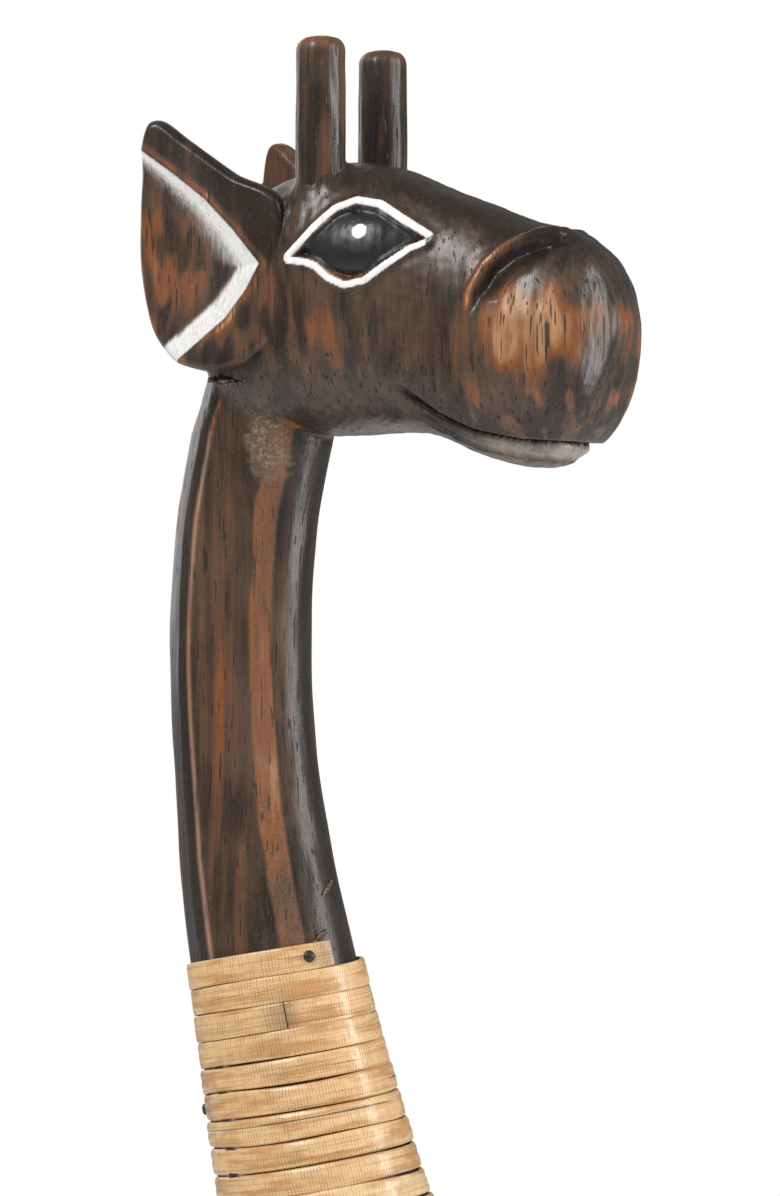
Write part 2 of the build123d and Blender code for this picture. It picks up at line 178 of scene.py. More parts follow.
# ---- carved and painted features of the head: x, height over the head seam ----
EYE = [
    (35.0, 49.0), (38.5, 52.2), (42.8, 56.7), (48.4, 61.8), (54.0, 64.0), (60.2, 62.8), (67.4, 58.2),
    (76.0, 53.2), (70.8, 51.2), (64.6, 47.0), (58.4, 42.4), (53.0, 41.3), (48.2, 43.5), (44.0, 47.0),
    (40.0, 48.5),
]
EYE_BALL = (56.0, 53.2, 17.0, 9.6)  # middle, then half its length and height
EYE_DOT = (56.6, 55.6, 2.1)         # middle, then radius
EYE_CORNER = (77.4, 52.2)           # the outline's white runs out here
EYE_DEPTH = 2.6
EYE_BULGE = 3.6
LINE_WIDTH = 1.95                   # of the white line round the eye
NOSTRIL = [
    (91.5, 29.5), (93.0, 36.8), (96.5, 44.0), (101.5, 49.5), (107.5, 52.8), (113.5, 53.3), (119.5, 50.5),
]
NOSTRIL_DEPTH = 3.6
MOUTH = [(64.5, 13.0), (70.0, 7.6), (76.0, 3.0), (88.0, -2.7), (104.0, -6.0), (118.0, -6.8), (140.0, -6.8)]
MOUTH_DEPTH = 3.0

# ---- rattan ----
STRIP_WIDTH = 7.5
STRIP_GAP = 0.2
STRIP_LIFT = 0.55
WRAP_HEIGHT = 115.0
WRAP_BELOW_SEAM = 32.0
WRAP_TILT = 0.13
WRAP_START = -20.0
STRIP_COUNT = 5
FIRST_STRIP_SHARE = 0.66
TACK_INSET = 10.0
CRACK_PITCH = 0.95          # between the fine cracks across a strip
STRIP_CROWN = 1.1           # how far a strip's outside stands above its flat underside
STEPS_PER_TURN = 260
WRAP_RADIUS = 30.0          # of an average turn
TACK_RADIUS = 1.75
TACK_RISE = 0.95
WRAP_PITCH = STRIP_WIDTH + STRIP_GAP
WRAP_TOP_Z = NECK_SEAM_Z - WRAP_BELOW_SEAM + WRAP_HEIGHT
TURNS = WRAP_HEIGHT / WRAP_PITCH


# ---- numbers ----
def at(stations, values):
    """Smooth curve through the stations, for an array of values: one column per size."""
    table = np.array(stations, float)
    keys, sizes = table[:, 0], table[:, 1:]
    slopes = np.empty_like(sizes)
    slopes[1:-1] = (sizes[2:] - sizes[:-2]) / (keys[2:] - keys[:-2])[:, None]
    slopes[0] = (sizes[1] - sizes[0]) / (keys[1] - keys[0])
    slopes[-1] = (sizes[-1] - sizes[-2]) / (keys[-1] - keys[-2])
    values = np.clip(np.atleast_1d(np.asarray(values, float)), keys[0], keys[-1])
    i = np.clip(np.searchsorted(keys, values, side="right") - 1, 0, len(keys) - 2)
    span = (keys[i + 1] - keys[i])[:, None]
    t = ((values - keys[i]) / (keys[i + 1] - keys[i]))[:, None]
    return (
        (2 * t**3 - 3 * t**2 + 1) * sizes[i]
        + (t**3 - 2 * t**2 + t) * slopes[i] * span
        + (3 * t**2 - 2 * t**3) * sizes[i + 1]
        + (t**3 - t**2) * slopes[i + 1] * span
    )


def ramp(low, high, value):
    """0 below low, 1 above high, smooth between."""
    t = np.clip((value - low) / (high - low), 0, 1)
    return t * t * (3 - 2 * t)


def bell(value, middle, width):
    """1 at the middle, falling away to nothing about two widths off."""
    return np.exp(-((value - middle) / width) ** 2)


def rounded(value):
    """A quarter circle that rises from 0 to 1 as value does."""
    return np.sqrt(np.clip(1 - (1 - np.clip(value, 0, 1)) ** 2, 0, 1))


def circle(count):
    """Angles of count even steps round a circle."""
    return 2 * pi * np.arange(count) / count


def bump_noise(points, step, seed, run=1.0):
    """Smooth noise in -1..1 at points, with features about step apart and step / run apart in z."""
    points = points * [1, 1, run]
    rng = np.random.default_rng(seed)
    total = np.zeros(len(points))
    for _ in range(10):
        direction = rng.normal(size=3)
        direction /= np.linalg.norm(direction)
        phase = points @ direction * (2 * pi / step * rng.uniform(0.6, 1.6)) + rng.uniform(0, 2 * pi)
        total += np.sin(phase + 1.3 * np.sin(phase * 0.37 + rng.uniform(0, 6)))
    return total / 5


def blotches(*choices):
    """The same noise in 0..1."""
    return 0.5 + 0.5 * bump_noise(*choices)


def line_distance(points, line, closed=False):
    """Distance from each 2-D point to a line, signed by side, and how far along it, 0 to 1."""
    line = np.array(line, float)
    if closed:
        line = np.vstack([line, line[:1]])
    lengths = np.linalg.norm(np.diff(line, axis=0), axis=1)
    done = np.concatenate([[0], np.cumsum(lengths)])
    best = np.full(len(points), np.inf)
    side = np.ones(len(points))
    along = np.zeros(len(points))
    for k, (a, b) in enumerate(zip(line, line[1:])):
        run = b - a
        t = np.clip((points - a) @ run / (run @ run), 0, 1)
        off = points - a - t[:, None] * run
        distance = np.hypot(off[:, 0], off[:, 1])
        nearer = distance < best
        best = np.where(nearer, distance, best)
        cross = run[0] * (points[:, 1] - a[1]) - run[1] * (points[:, 0] - a[0])
        side = np.where(nearer, np.sign(cross), side)
        along = np.where(nearer, (done[k] + t * lengths[k]) / done[-1], along)
    return best * side, along


def inside(points, outline):
    """Which 2-D points lie inside a closed outline."""
    found = np.zeros(len(points), bool)
    x, y = points[:, 0], points[:, 1]
    for (ax, ay), (bx, by) in zip(outline, outline[1:] + outline[:1]):
        if ay != by:
            found ^= ((ay > y) != (by > y)) & (x < (bx - ax) * (y - ay) / (by - ay) + ax)
    return found


def smooth_outline(points, count):
    """count points of a closed smooth curve through points."""
    ring = np.array(points, float)
    padded = np.vstack([ring[-3:], ring, ring[:4]])
    lengths = np.linalg.norm(np.diff(padded, axis=0), axis=1) ** 0.5
    keys = np.concatenate([[0], np.cumsum(lengths)])
    first, last = keys[3], keys[3 + len(ring)]
    values = first + (last - first) * np.arange(count) / count
    return at(np.column_stack([keys, padded]), values)


# ---- meshes ----
SHARP_ANGLE = 60.0          # an edge that turns by more is shaded as a corner
HEAD_VOXEL = 0.62           # how finely head and body are meshed when their pieces are fused
BODY_VOXEL = 1.3


def placed(name, mesh):
    obj = bpy.data.objects.new(name, mesh)
    bpy.context.scene.collection.objects.link(obj)
    return obj


def new_object(name, verts, faces, smooth=True):
    mesh = bpy.data.meshes.new(name)
    mesh.from_pydata((np.asarray(verts) * MM).tolist(), [], faces)
    mesh.validate()
    if smooth:
        mesh.shade_smooth()
        mesh.set_sharp_from_angle(angle=radians(SHARP_ANGLE))
    return placed(name, mesh)


def grid_faces(rings, around, start=0):
    """Quads of a tube: rings of around points each, joined round."""
    i, j = np.meshgrid(np.arange(rings - 1), np.arange(around), indexing="ij")
    k = (j + 1) % around
    quads = np.stack([i * around + j, i * around + k, (i + 1) * around + k, (i + 1) * around + j], -1)
    return (quads.reshape(-1, 4) + start).tolist()


def tube(grid):
    """Vertices and faces of a closed tube through grid, shaped (rings, around, 3)."""
    rings, around, _ = grid.shape
    ends = [grid[0].mean(0), grid[-1].mean(0)]
    verts = np.vstack([grid.reshape(-1, 3), ends])
    first, last = rings * around, rings * around + 1
    faces = grid_faces(rings, around)
    for j in range(around):
        k = (j + 1) % around
        faces.append((first, k, j))
        faces.append((last, (rings - 1) * around + j, (rings - 1) * around + k))
    return verts, faces


def joined(*pieces):
    """One list of vertices and faces from several."""
    verts, faces, start = [], [], 0
    for piece_verts, piece_faces in pieces:
        verts.append(piece_verts)
        faces += [tuple(i + start for i in face) for face in piece_faces]
        start += len(piece_verts)
    return np.vstack(verts), faces


def mesh_points(obj):
    points = np.empty(len(obj.data.vertices) * 3)
    obj.data.vertices.foreach_get("co", points)
    return points.reshape(-1, 3) / MM


def mesh_normals(obj):
    normals = np.empty(len(obj.data.vertices) * 3)
    obj.data.vertex_normals.foreach_get("vector", normals)
    return normals.reshape(-1, 3)


def surface(obj):
    return mesh_points(obj), mesh_normals(obj)


def set_points(obj, points):
    obj.data.vertices.foreach_set("co", (points * MM).ravel())
    obj.data.update()


def push_out(obj, points, normals, amount):
    """Moves each point along its normal; a negative amount carves."""
    set_points(obj, points + normals * amount[:, None])


def set_attribute(obj, name, values):
    attribute = obj.data.attributes.new(name, "FLOAT", "POINT")
    attribute.data.foreach_set("value", values.astype(np.float32))


def set_masks(obj, masks):
    """Hands the materials where each kind of wear, stain or paint lies, 0 to 1."""
    for name, values in masks.items():
        set_attribute(obj, name, np.clip(values, 0, 1))


def lift(masks, name, values):
    masks[name] = np.maximum(masks[name], values)


def mesh_edges(obj):
    edges = np.empty(len(obj.data.edges) * 2, dtype=np.int64)
    obj.data.edges.foreach_get("vertices", edges)
    return edges.reshape(-1, 2)


def smoothed(points, edges, rounds, amount=0.5):
    """Points pulled rounds times towards their neighbours' middle; amount may differ per point."""
    count = np.bincount(edges.ravel(), minlength=len(points))[:, None]
    amount = np.broadcast_to(amount, len(points))[:, None]
    for _ in range(rounds):
        total = np.zeros_like(points)
        for column in range(3):
            total[:, column] = np.bincount(
                edges[:, 0], points[edges[:, 1], column], len(points)
            ) + np.bincount(edges[:, 1], points[edges[:, 0], column], len(points))
        points = points + amount * (total / count - points)
    return points


def fused(name, pieces, voxel):
    """One watertight, evenly meshed object from overlapping closed pieces."""
    rough = new_object(name + "_rough", *joined(*pieces))
    remesh = rough.modifiers.new("fuse", "REMESH")
    remesh.mode = "VOXEL"
    remesh.voxel_size = voxel * MM
    evaluated = rough.evaluated_get(bpy.context.evaluated_depsgraph_get())
    mesh = bpy.data.meshes.new_from_object(evaluated)
    mesh.name = name
    bpy.data.objects.remove(rough)
    mesh.shade_smooth()
    return placed(name, mesh)


# ---- carved sections ----
FLATS = [0, 23, 43, 63, 90, 135, 180, 225, 270, 297, 317, 337]     # degrees round where the knife cut


def carved_ring(depth, width, around, flats=FLATS, sharpness=30.0):
    """Radii round a hand-cut section: flats that just touch an ellipse, with softened corners."""
    angle = circle(around)
    total = np.zeros((len(depth), around))
    for flat in np.radians(flats):
        reach = np.sqrt((depth * cos(flat)) ** 2 + (width * sin(flat)) ** 2)[:, None]
        total += np.maximum(0, np.cos(angle - flat)[None, :] / reach) ** sharpness
    radius = total ** (-1 / sharpness)
    round_ = 1 / np.sqrt((np.cos(angle) / depth[:, None]) ** 2 + (np.sin(angle) / width[:, None]) ** 2)
    return np.minimum(radius * 0.985, round_ * 1.045), angle


def upright(heights, sizes, side=None, around=120, flats=FLATS, sharpness=30.0):
    """Tube of carved level sections; sizes has columns x, depth, width."""
    radius, angle = carved_ring(sizes[:, 1], sizes[:, 2], around, flats, sharpness)
    middle_y = np.zeros(len(heights)) if side is None else side
    x = SHIFT + sizes[:, :1] + radius * np.cos(angle)
    y = middle_y[:, None] + radius * np.sin(angle)
    z = np.broadcast_to(np.asarray(heights)[:, None], x.shape)
    return np.stack([x, y, z], -1)


def neck_sizes(heights):
    """x, depth and width of shoulder, neck and nape at these heights."""
    heights = np.atleast_1d(heights)
    neck = at(NECK, (heights - NECK_SEAM_Z) / NECK_LENGTH)
    shoulder = at(SHOULDER, (heights - BODY_Z) / SHOULDER_RISE)
    nape = at(NAPE, heights - HEAD_SEAM_Z)
    sizes = np.where((heights < NECK_SEAM_Z)[:, None], shoulder, neck)
    return np.where((heights > HEAD_SEAM_Z)[:, None], nape, sizes)


def side_at(side, heights):
    share = heights / LEG_SEAM_Z
    leg = (STANCE_WIDTH + (HIP_SPACING - STANCE_WIDTH) * share) / 2
    stump = HIP_SPACING / 2 - STUMP_SPACING_IN * (heights - LEG_SEAM_Z) / STUMP_RISE
    return side * np.where(share <= 1, leg, stump)


# ---- head ----
def skull_tube(rings=170, around=220):
    """The skull as level-ended sections, closed round at the muzzle and the back."""
    stations = np.array(SKULL)
    tip = np.array([[130.0, 27.0, 27.0, 0.0]])
    back = np.array([[-15.5, 43.0, 43.0, 0.0]])
    table = np.vstack([back, stations, tip])
    gaps = np.linalg.norm(np.diff(table * [1, 0.5, 0.5, 25], axis=0), axis=1)
    keys = np.concatenate([[0], np.cumsum(gaps)])
    sizes = at(np.column_stack([keys, table]), np.linspace(0, keys[-1], rings))
    x, top, bottom, share = sizes.T
    share = np.maximum(share, 0.002)
    angle = circle(around)
    power = 2 / (SKULL_SQUARENESS + (MUZZLE_SQUARENESS - SKULL_SQUARENESS) * ramp(80, 100, x))[:, None]
    across = np.abs(np.cos(angle)) ** power * np.sign(np.cos(angle))
    upward = np.abs(np.sin(angle)) ** power * np.sign(np.sin(angle))
    y = (share * HEAD_HALF)[:, None] * across
    z = HEAD_SEAM_Z + ((top + bottom) / 2)[:, None] + ((top - bottom) / 2)[:, None] * upward
    return tube(np.stack([np.broadcast_to((x + SHIFT)[:, None], y.shape), y, z], -1))


def ear_axes(side):
    """Origin, outward and facing directions of an ear's middle plane; its height is upright."""
    turn = radians(EAR_SWEEP)
    origin = np.array([EAR_ROOT[0] + SHIFT, side * EAR_ROOT[1], HEAD_SEAM_Z])
    return origin, np.array([-cos(turn), side * sin(turn), 0]), np.array([sin(turn), side * cos(turn), 0])


def ear_mound(side):
    """The swelling of the skull that each ear is faired into."""
    origin, out, facing = ear_axes(side)
    turn, rise = np.meshgrid(circle(60), np.linspace(-1, 1, 50))
    level = np.sqrt(1 - 0.9999 * rise**2)
    far, thick, high = MOUND_SIZE
    middle = origin + out * MOUND_AT[0] + np.array([0, 0, MOUND_AT[1]]) + facing * MOUND_AT[2]
    return tube(
        middle
        + (far * level * np.cos(turn))[..., None] * out
        + (-thick * level * np.sin(turn))[..., None] * facing * side
        + (high * rise)[..., None] * UP
    )


def horn_stub(side):
    """The flared foot that each horn stands on."""
    heights = np.linspace(58, 80, 40)
    radius = 7.1 + 4.2 * np.clip((80 - heights) / 22, 0, 1) ** 2.2
    sizes = np.column_stack([np.full(40, HORN_X), radius, radius])
    middle = np.full(40, side * HORN_OUT)
    return tube(upright(HEAD_SEAM_Z + heights, sizes, middle, 60, range(0, 360, 30), 20.0))


def nape_tube():
    """The top of the neck that is carved in one with the skull, with a tongue into the neck."""
    heights = np.linspace(HEAD_SEAM_Z - 5, HEAD_SEAM_Z + 42, 40)
    return tube(upright(heights, neck_sizes(np.maximum(heights, HEAD_SEAM_Z + 0.01))))


def carve_eye(spot, masks):
    """Depth cut at each spot round one eye; fills the masks for its paint and gloss."""
    distance = np.abs(line_distance(spot, EYE, closed=True)[0])
    within = inside(spot, EYE)
    signed = np.where(within, -distance, distance)
    x, h, long, high = EYE_BALL
    ball = ((spot[:, 0] - x) / long) ** 2 + ((spot[:, 1] - h) / high) ** 2
    dome = np.sqrt(np.clip(1 - ball, 0, 1))
    cut = -EYE_DEPTH * ramp(0.2, -1.6, signed)
    cut += EYE_BULGE * dome * ramp(0, -1.0, signed)
    cut += 0.7 * bell(signed, 1.2, 1.5)
    line = ramp(-0.3, 0.25, signed) * ramp(LINE_WIDTH + 0.3, LINE_WIDTH - 0.3, signed)
    corner = ramp(0.8, 2.4, np.hypot(spot[:, 0] - EYE_CORNER[0], spot[:, 1] - EYE_CORNER[1]))
    dot = np.hypot(spot[:, 0] - EYE_DOT[0], spot[:, 1] - EYE_DOT[1])
    lift(masks, "paint", line * corner)
    lift(masks, "paint", ramp(EYE_DOT[2] + 0.35, EYE_DOT[2] - 0.35, dot))
    lift(masks, "black", ramp(0.05, 0.5, dome) * within)
    # painted shade in the eye's recess round the eyeball
    lift(masks, "shade_and_dark_tone", 0.8 * within * ramp(-0.2, -1.2, signed) * (dome < 0.3))
    masks["wear"] = np.where(within & (spot[:, 1] < h - 5) & (dome < 0.35), 0.8, masks["wear"])
    return cut


def carve_nostril(spot, masks):
    """An arched scoop that runs out towards the muzzle, with a worn rim over it."""
    side, along = line_distance(spot, NOSTRIL)
    strength = ramp(0.0, 0.3, along) * ramp(1.0, 0.72, along)
    width = 3.0 + 9.5 * strength
    floor = ramp(0.9, -0.5, side) * ramp(-width, -0.8, side) ** 1.6
    rim = bell(side, 1.9, 1.15)
    # painted shade on the floor of the nostril's hollow
    lift(masks, "shade_and_dark_tone", 0.8 * floor**1.5 * strength)
    lift(masks, "wear", 0.95 * rim * ramp(0.0, 0.12, along) * ramp(0.85, 0.35, along))
    return -NOSTRIL_DEPTH * floor * strength + 1.2 * rim * strength


def carve_mouth(spot, masks):
    """A groove between the lips and the flat that the knife left along the lower one."""
    side, along = line_distance(spot, MOUTH)
    start = ramp(0.0, 0.12, along)
    groove = bell(side, 0, 0.95)
    ledge = ramp(0.6, -0.2, side) * ramp(-4.6, -3.6, side)
    # painted shade in the mouth's groove
    lift(masks, "shade_and_dark_tone", 0.95 * groove * start)
    # painted highlight on the flat below the mouth's groove
    lift(masks, "pale", ledge * ramp(0.25, 0.5, along) * (side < -0.9))
    return (-MOUTH_DEPTH * groove - 0.9 * ledge) * start


def make_head():
    pieces = [skull_tube(), nape_tube()]
    for side in (-1, 1):
        pieces += [ear_mound(side), horn_stub(side)]
    head = fused("head_carving", pieces, HEAD_VOXEL)
    edges = mesh_edges(head)
    points = smoothed(mesh_points(head), edges, 5)
    x, rise = points[:, 0] - SHIFT, points[:, 2] - HEAD_SEAM_Z
    crook = ramp(9, 3, np.hypot(x - 31, rise + 1.0))
    nape_side = ramp(22, 8, np.abs(rise - 18)) * ramp(32, 12, x)
    out = np.abs(points[:, 1])
    horn_foot = ramp(15, 11, np.hypot(x - HORN_X, out - HORN_OUT)) * ramp(80, 76, rise)
    ear_root = ramp(38, 30, x) * ramp(76, 70, rise) * ramp(5, 9, rise) * ramp(12, 18, out)
    loose = np.max([crook, nape_side, horn_foot, ear_root], axis=0) * ramp(1, 6, rise)
    points = smoothed(points, edges, 40, 0.5 * loose)
    set_points(head, points)
    normals = mesh_normals(head)

    spot = np.column_stack([points[:, 0] - SHIFT, points[:, 2] - HEAD_SEAM_Z])
    masks = {name: np.zeros(len(points)) for name in ("paint", "black", "shade_and_dark_tone", "wear", "pale")}
    sideways = ramp(0.1, 0.35, np.abs(normals[:, 1]))
    cut = carve_eye(spot, masks) * sideways
    cut += carve_nostril(spot, masks) * ramp(1.0, 5.0, np.abs(points[:, 1]))
    cut += carve_mouth(spot, masks)
    cut += 0.12 * bump_noise(points, 14.0, 3) + 0.06 * bump_noise(points, 5.0, 4)
    cut += 0.10 * bump_noise(points, 4.0, 5, 0.25)
    at_neck = (np.hypot(spot[:, 0] - 8, points[:, 1]) < 26) * (spot[:, 0] < 31)
    cut *= np.maximum(1 - at_neck, ramp(0.5, 5.0, spot[:, 1]))
    tongue = ramp(0.0, -1.0, spot[:, 1]) * at_neck
    cut = np.where(tongue > 0, -0.6 * tongue, cut)
    push_out(head, points, normals, cut)

    wear_head(points, normals, masks)
    below = neck_masks(points)
    nape = ramp(13, 5, spot[:, 1] + 1.5 * bump_noise(points, 9.0, 16)) * at_neck
    for name in ("wear", "dark"):
        masks[name] = masks[name] + nape * (below[name] - masks[name])
    set_masks(head, masks)
    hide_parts("head")
    return head


def wear_head(points, normals, masks):
    """Adds the rubbed muzzle, lips, cheek and temple, painted shade under the jaw and in the fold under
    the ear, and darker upward faces.
    """
    x, rise = points[:, 0] - SHIFT, points[:, 2] - HEAD_SEAM_Z
    jagged = bump_noise(points, 3.0, 17, 0.12)
    blotch = bump_noise(points, 15.0, 18, 0.7)
    small = blotches(points, 6.0, 12, 0.3)
    muzzle = ramp(0.22, 0.85, bell(x, 112, 21) * bell(rise, 25, 14) + 0.12 * jagged + 0.24 * blotch)
    lips = ramp(80, 96, x) * ramp(20, 8, rise) * ramp(0.1, 0.5, blotch + 0.4 * jagged)
    cheek = bell(x, 45, 26) * bell(rise, 26, 17) * ramp(0.35, 0.75, small)
    temple = bell(x, 24, 8) * bell(rise, 46, 14) * ramp(0.2, 0.6, small)
    # painted shade: faces turned down under the jaw are darkened
    jaw = ramp(10, -6, rise) * ramp(0.2, -0.6, normals[:, 2])
    # painted shade in the fold under the ear
    fold = bell(x, 14, 9) * bell(rise, 24, 7) * (np.abs(points[:, 1]) < 31)
    lift(masks, "wear", muzzle * (0.66 + 0.34 * small))
    lift(masks, "wear", 0.55 * lips)
    lift(masks, "wear", 0.36 * cheek + 0.6 * temple)
    lift(masks, "shade_and_dark_tone", 0.55 * fold)
    masks["dark"] = np.clip(jaw + 0.9 * ramp(0.5, 0.85, normals[:, 2]) + 0.8 * fold, 0, 1)
    masks["grit"] = grit_patch(points)


def grit_patch(points):
    """Filler rubbed into the joint of head and neck, on both sides."""
    centre = np.array([SHIFT + 19.0, 16.5, HEAD_SEAM_Z - 4.0])
    away = (np.abs(points * [0, 1, 0]) + points * [1, 0, 1] - centre) / [6.5, 9.0, 12.0]
    return ramp(1.15, 0.5, np.linalg.norm(away, axis=1) + 0.25 * bump_noise(points, 5.0, 15))


# ---- ears ----
BEVEL = [(39.8, 81.5), (30.0, 74.5), (20.5, 67.0), (11.5, 57.5), (3.6, 47.7), (7.5, 40.5), (14.0, 32.0),
         (28.0, 20.6), (36.0, 14.0), (60.0, 14.0), (60.0, 96.0)]


def make_ear(side, name):
    """A fan-shaped slab with a hollow carved in its outer face, its long edge left open."""
    rings, around = 110, 420
    outline = smooth_outline(EAR, around)
    middle = np.array([20.0, 50.0])
    reach = np.linspace(0, 1, rings)
    flat = middle + (outline - middle)[None] * reach[:, None, None]
    flat = flat.reshape(-1, 2)
    edge = np.abs(line_distance(flat, outline.tolist(), closed=True)[0])
    half = EAR_THICKNESS / 2
    face = half * rounded(edge / 2.6)
    bevel = np.abs(line_distance(flat, BEVEL, closed=True)[0])
    within = inside(flat, BEVEL)
    slope = np.clip(bevel / 8.0, 0, 1)
    depth = np.where(within, 4.4 * (1 - (1 - slope) ** 1.6) + 0.8 * ramp(8, 24, bevel), 0)
    front = face - depth
    front = np.maximum(front, -half + 1.6 * np.clip(edge / 1.2, 0, 1))
    back = -face + 1.2 * bell(flat[:, 0], 40, 14) * np.clip(edge / 6, 0, 1)
    back = np.minimum(back, front)

    origin, out, facing = ear_axes(side)

    def place(level):
        return origin + flat[:, :1] * out + flat[:, 1:] * UP + level[:, None] * facing

    verts = np.vstack([place(front), place(back)])
    faces = grid_faces(rings, around) + [f[::-1] for f in grid_faces(rings, around, rings * around)]
    last = (rings - 1) * around
    for j in range(around):
        k = (j + 1) % around
        faces.append((last + k, last + j, rings * around + last + j, rings * around + last + k))
    if side < 0:
        faces = [tuple(f[::-1]) for f in faces]
    ear = new_object(name, verts, faces)

    signed = np.where(within, bevel, -bevel)
    speckle = blotches(np.column_stack([flat * [1, 0.35], flat[:, :1]]), 6.0, 21)
    low = ramp(50, 44, flat[:, 1])
    near_apex = ramp(42, 6, flat[:, 0])
    upper = np.exp(-np.maximum(bevel - 1.2 - 2.4 * near_apex, 0) / (2.4 + 4.2 * near_apex))
    lower = ramp(8.2, 5.6, bevel + 1.4 * (speckle - 0.5))
    spray = ramp(-0.5, 0.4, signed) * (upper * (1 - low) + 0.9 * lower * low)
    rim = 0.9 * bell(signed, -1.2, 1.1) * speckle
    hollow = 0.5 * within * ramp(4, 16, bevel) * ramp(0.2, 0.8, speckle)
    lobe = 0.4 * low * ~within * ramp(0.3, 0.7, speckle)
    root = 0.8 * ramp(24, 17, flat[:, 1]) * ramp(34, 26, flat[:, 0])
    on_back = np.ones(len(flat))
    set_masks(ear, {
        "paint": np.concatenate([0.74 * spray, 0 * on_back]),
        "wear": np.concatenate([rim + hollow + lobe, 0.3 * on_back]),
        "dark": np.concatenate([0.4 * ramp(56, 66, flat[:, 1]) * ~within, 0 * on_back]),
        "shade_and_dark_tone": np.concatenate([root, 0.3 * on_back]),
    })
    return ear


# ---- horns ----
HORN_RADIUS = 7.4
HORN_ROUNDING = 4.2         # at the rim of the blunt top


def make_horn(side, name):
    """A short blunt horn, whittled round, with a soft fillet where it meets the skull."""
    low = HEAD_SEAM_Z + 56
    heights = np.linspace(low, TOP_Z, 90)
    over = TOP_Z - heights
    radius = HORN_RADIUS - HORN_ROUNDING * (1 - rounded(over / HORN_ROUNDING))
    radius -= 0.25 * ramp(30, 0, over)
    x = np.full(len(heights), HORN_X)
    sizes = np.column_stack([x, radius, radius])
    flats = [0, 35, 62, 95, 130, 165, 200, 228, 265, 300, 332]
    grid = upright(heights, sizes, np.full(len(heights), side * HORN_OUT), 96, flats, 40.0)
    horn = new_object(name, *tube(grid))
    points, normals = surface(horn)
    push_out(horn, points, normals, 0.12 * bump_noise(points, 5.0, 31, 0.3))
    streak = blotches(points, 5.0, 33, 0.12)
    set_masks(horn, {
        "wear": 0.4 * ramp(6, 0, TOP_Z - points[:, 2]) + 0.32 * ramp(0.65, 0.9, streak),
        "dark": 0.6 * ramp(0.6, 0.3, streak),
    })
    return horn


# ---- neck, body, legs, tail ----
def knife_marks(points, amount, seed):
    """Shallow waviness left by long knife and rasp strokes."""
    return amount * bump_noise(points, 9.0, seed, 0.25) + amount * bump_noise(points, 30.0, seed + 1)


def neck_masks(points):
    """Wear and darkening of the neck by the facet that each point lies on, with a painted highlight along
    one back corner and painted shade where the rattan begins.
    """
    sizes = neck_sizes(points[:, 2])
    round_ = np.abs(np.degrees(np.arctan2(points[:, 1], points[:, 0] - SHIFT - sizes[:, 0])))
    ragged = 2.0 * bump_noise(points, 7, 46, 0.2)
    corner = bell(round_, 112.5, 2.2) + 0.6 * bell(round_, 157.5, 3.0)
    wear = 0.95 * corner * (0.75 + 0.25 * bump_noise(points, 16, 43, 0.3))
    stave = ramp(54 + ragged, 51 + ragged, round_) * ramp(32, 35, round_ + 0.6 * ragged)
    wear = np.maximum(wear, 0.60 * stave * (0.75 + 0.25 * bump_noise(points, 12, 44, 0.25)))
    side_streaks = ramp(0.15, 0.8, bump_noise(points, 8, 45, 0.10)) * ramp(56, 62, round_)
    wear = np.maximum(wear, 0.20 * side_streaks * ramp(110, 104, round_))
    front = ramp(14 + ragged, 10 + ragged, round_)
    chamfer = ramp(114, 118, round_) * ramp(156, 150, round_)
    return {
        "wear": wear,
        "dark": 0.9 * front + 0.9 * chamfer + 0.35 * ramp(34, 30, round_),
        "grit": np.maximum(grit_patch(points), 0.15 * stave),
        # painted highlight: a pale line along the corner between side and back chamfer
        "pale": 0.55 * bell(round_, 112.5, 1.6),
        # painted shade in a band where the rattan meets the neck
        "shade_and_dark_tone": 0.5 * ramp(6, 0, np.abs(points[:, 2] - WRAP_TOP_Z)),
    }


def make_neck():
    heights = np.linspace(NECK_SEAM_Z, HEAD_SEAM_Z, 340)
    neck = new_object("neck_carving", *tube(upright(heights, neck_sizes(heights), around=300)))
    points, normals = surface(neck)
    normals[:, 2] = 0
    push_out(neck, points, normals, knife_marks(points, 0.12, 41))
    set_masks(neck, neck_masks(points))
    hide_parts("neck")
    return neck


def barrel_tube():
    table = np.vstack([[-151.0, 8.0, 0.5, 0.02], BARREL, [93.5, 6.0, 0.5, 0.02]])
    x = np.linspace(table[0, 0], table[-1, 0], 160)
    rise, high, share = at(table, x).T
    angle = circle(120)
    y = (share * BODY_HALF)[:, None] * np.cos(angle)
    z = BODY_Z + rise[:, None] + high[:, None] * np.sin(angle)
    return tube(np.stack([np.broadcast_to((x + SHIFT)[:, None], y.shape), y, z], -1))


def stump_tube(stations, side):
    heights = np.linspace(LEG_SEAM_Z - 4, LEG_SEAM_Z + 0.8 * STUMP_RISE, 60)
    sizes = at(stations, (heights - LEG_SEAM_Z) / STUMP_RISE)
    return tube(upright(heights, sizes, side_at(side, np.maximum(heights, LEG_SEAM_Z + 0.01))))


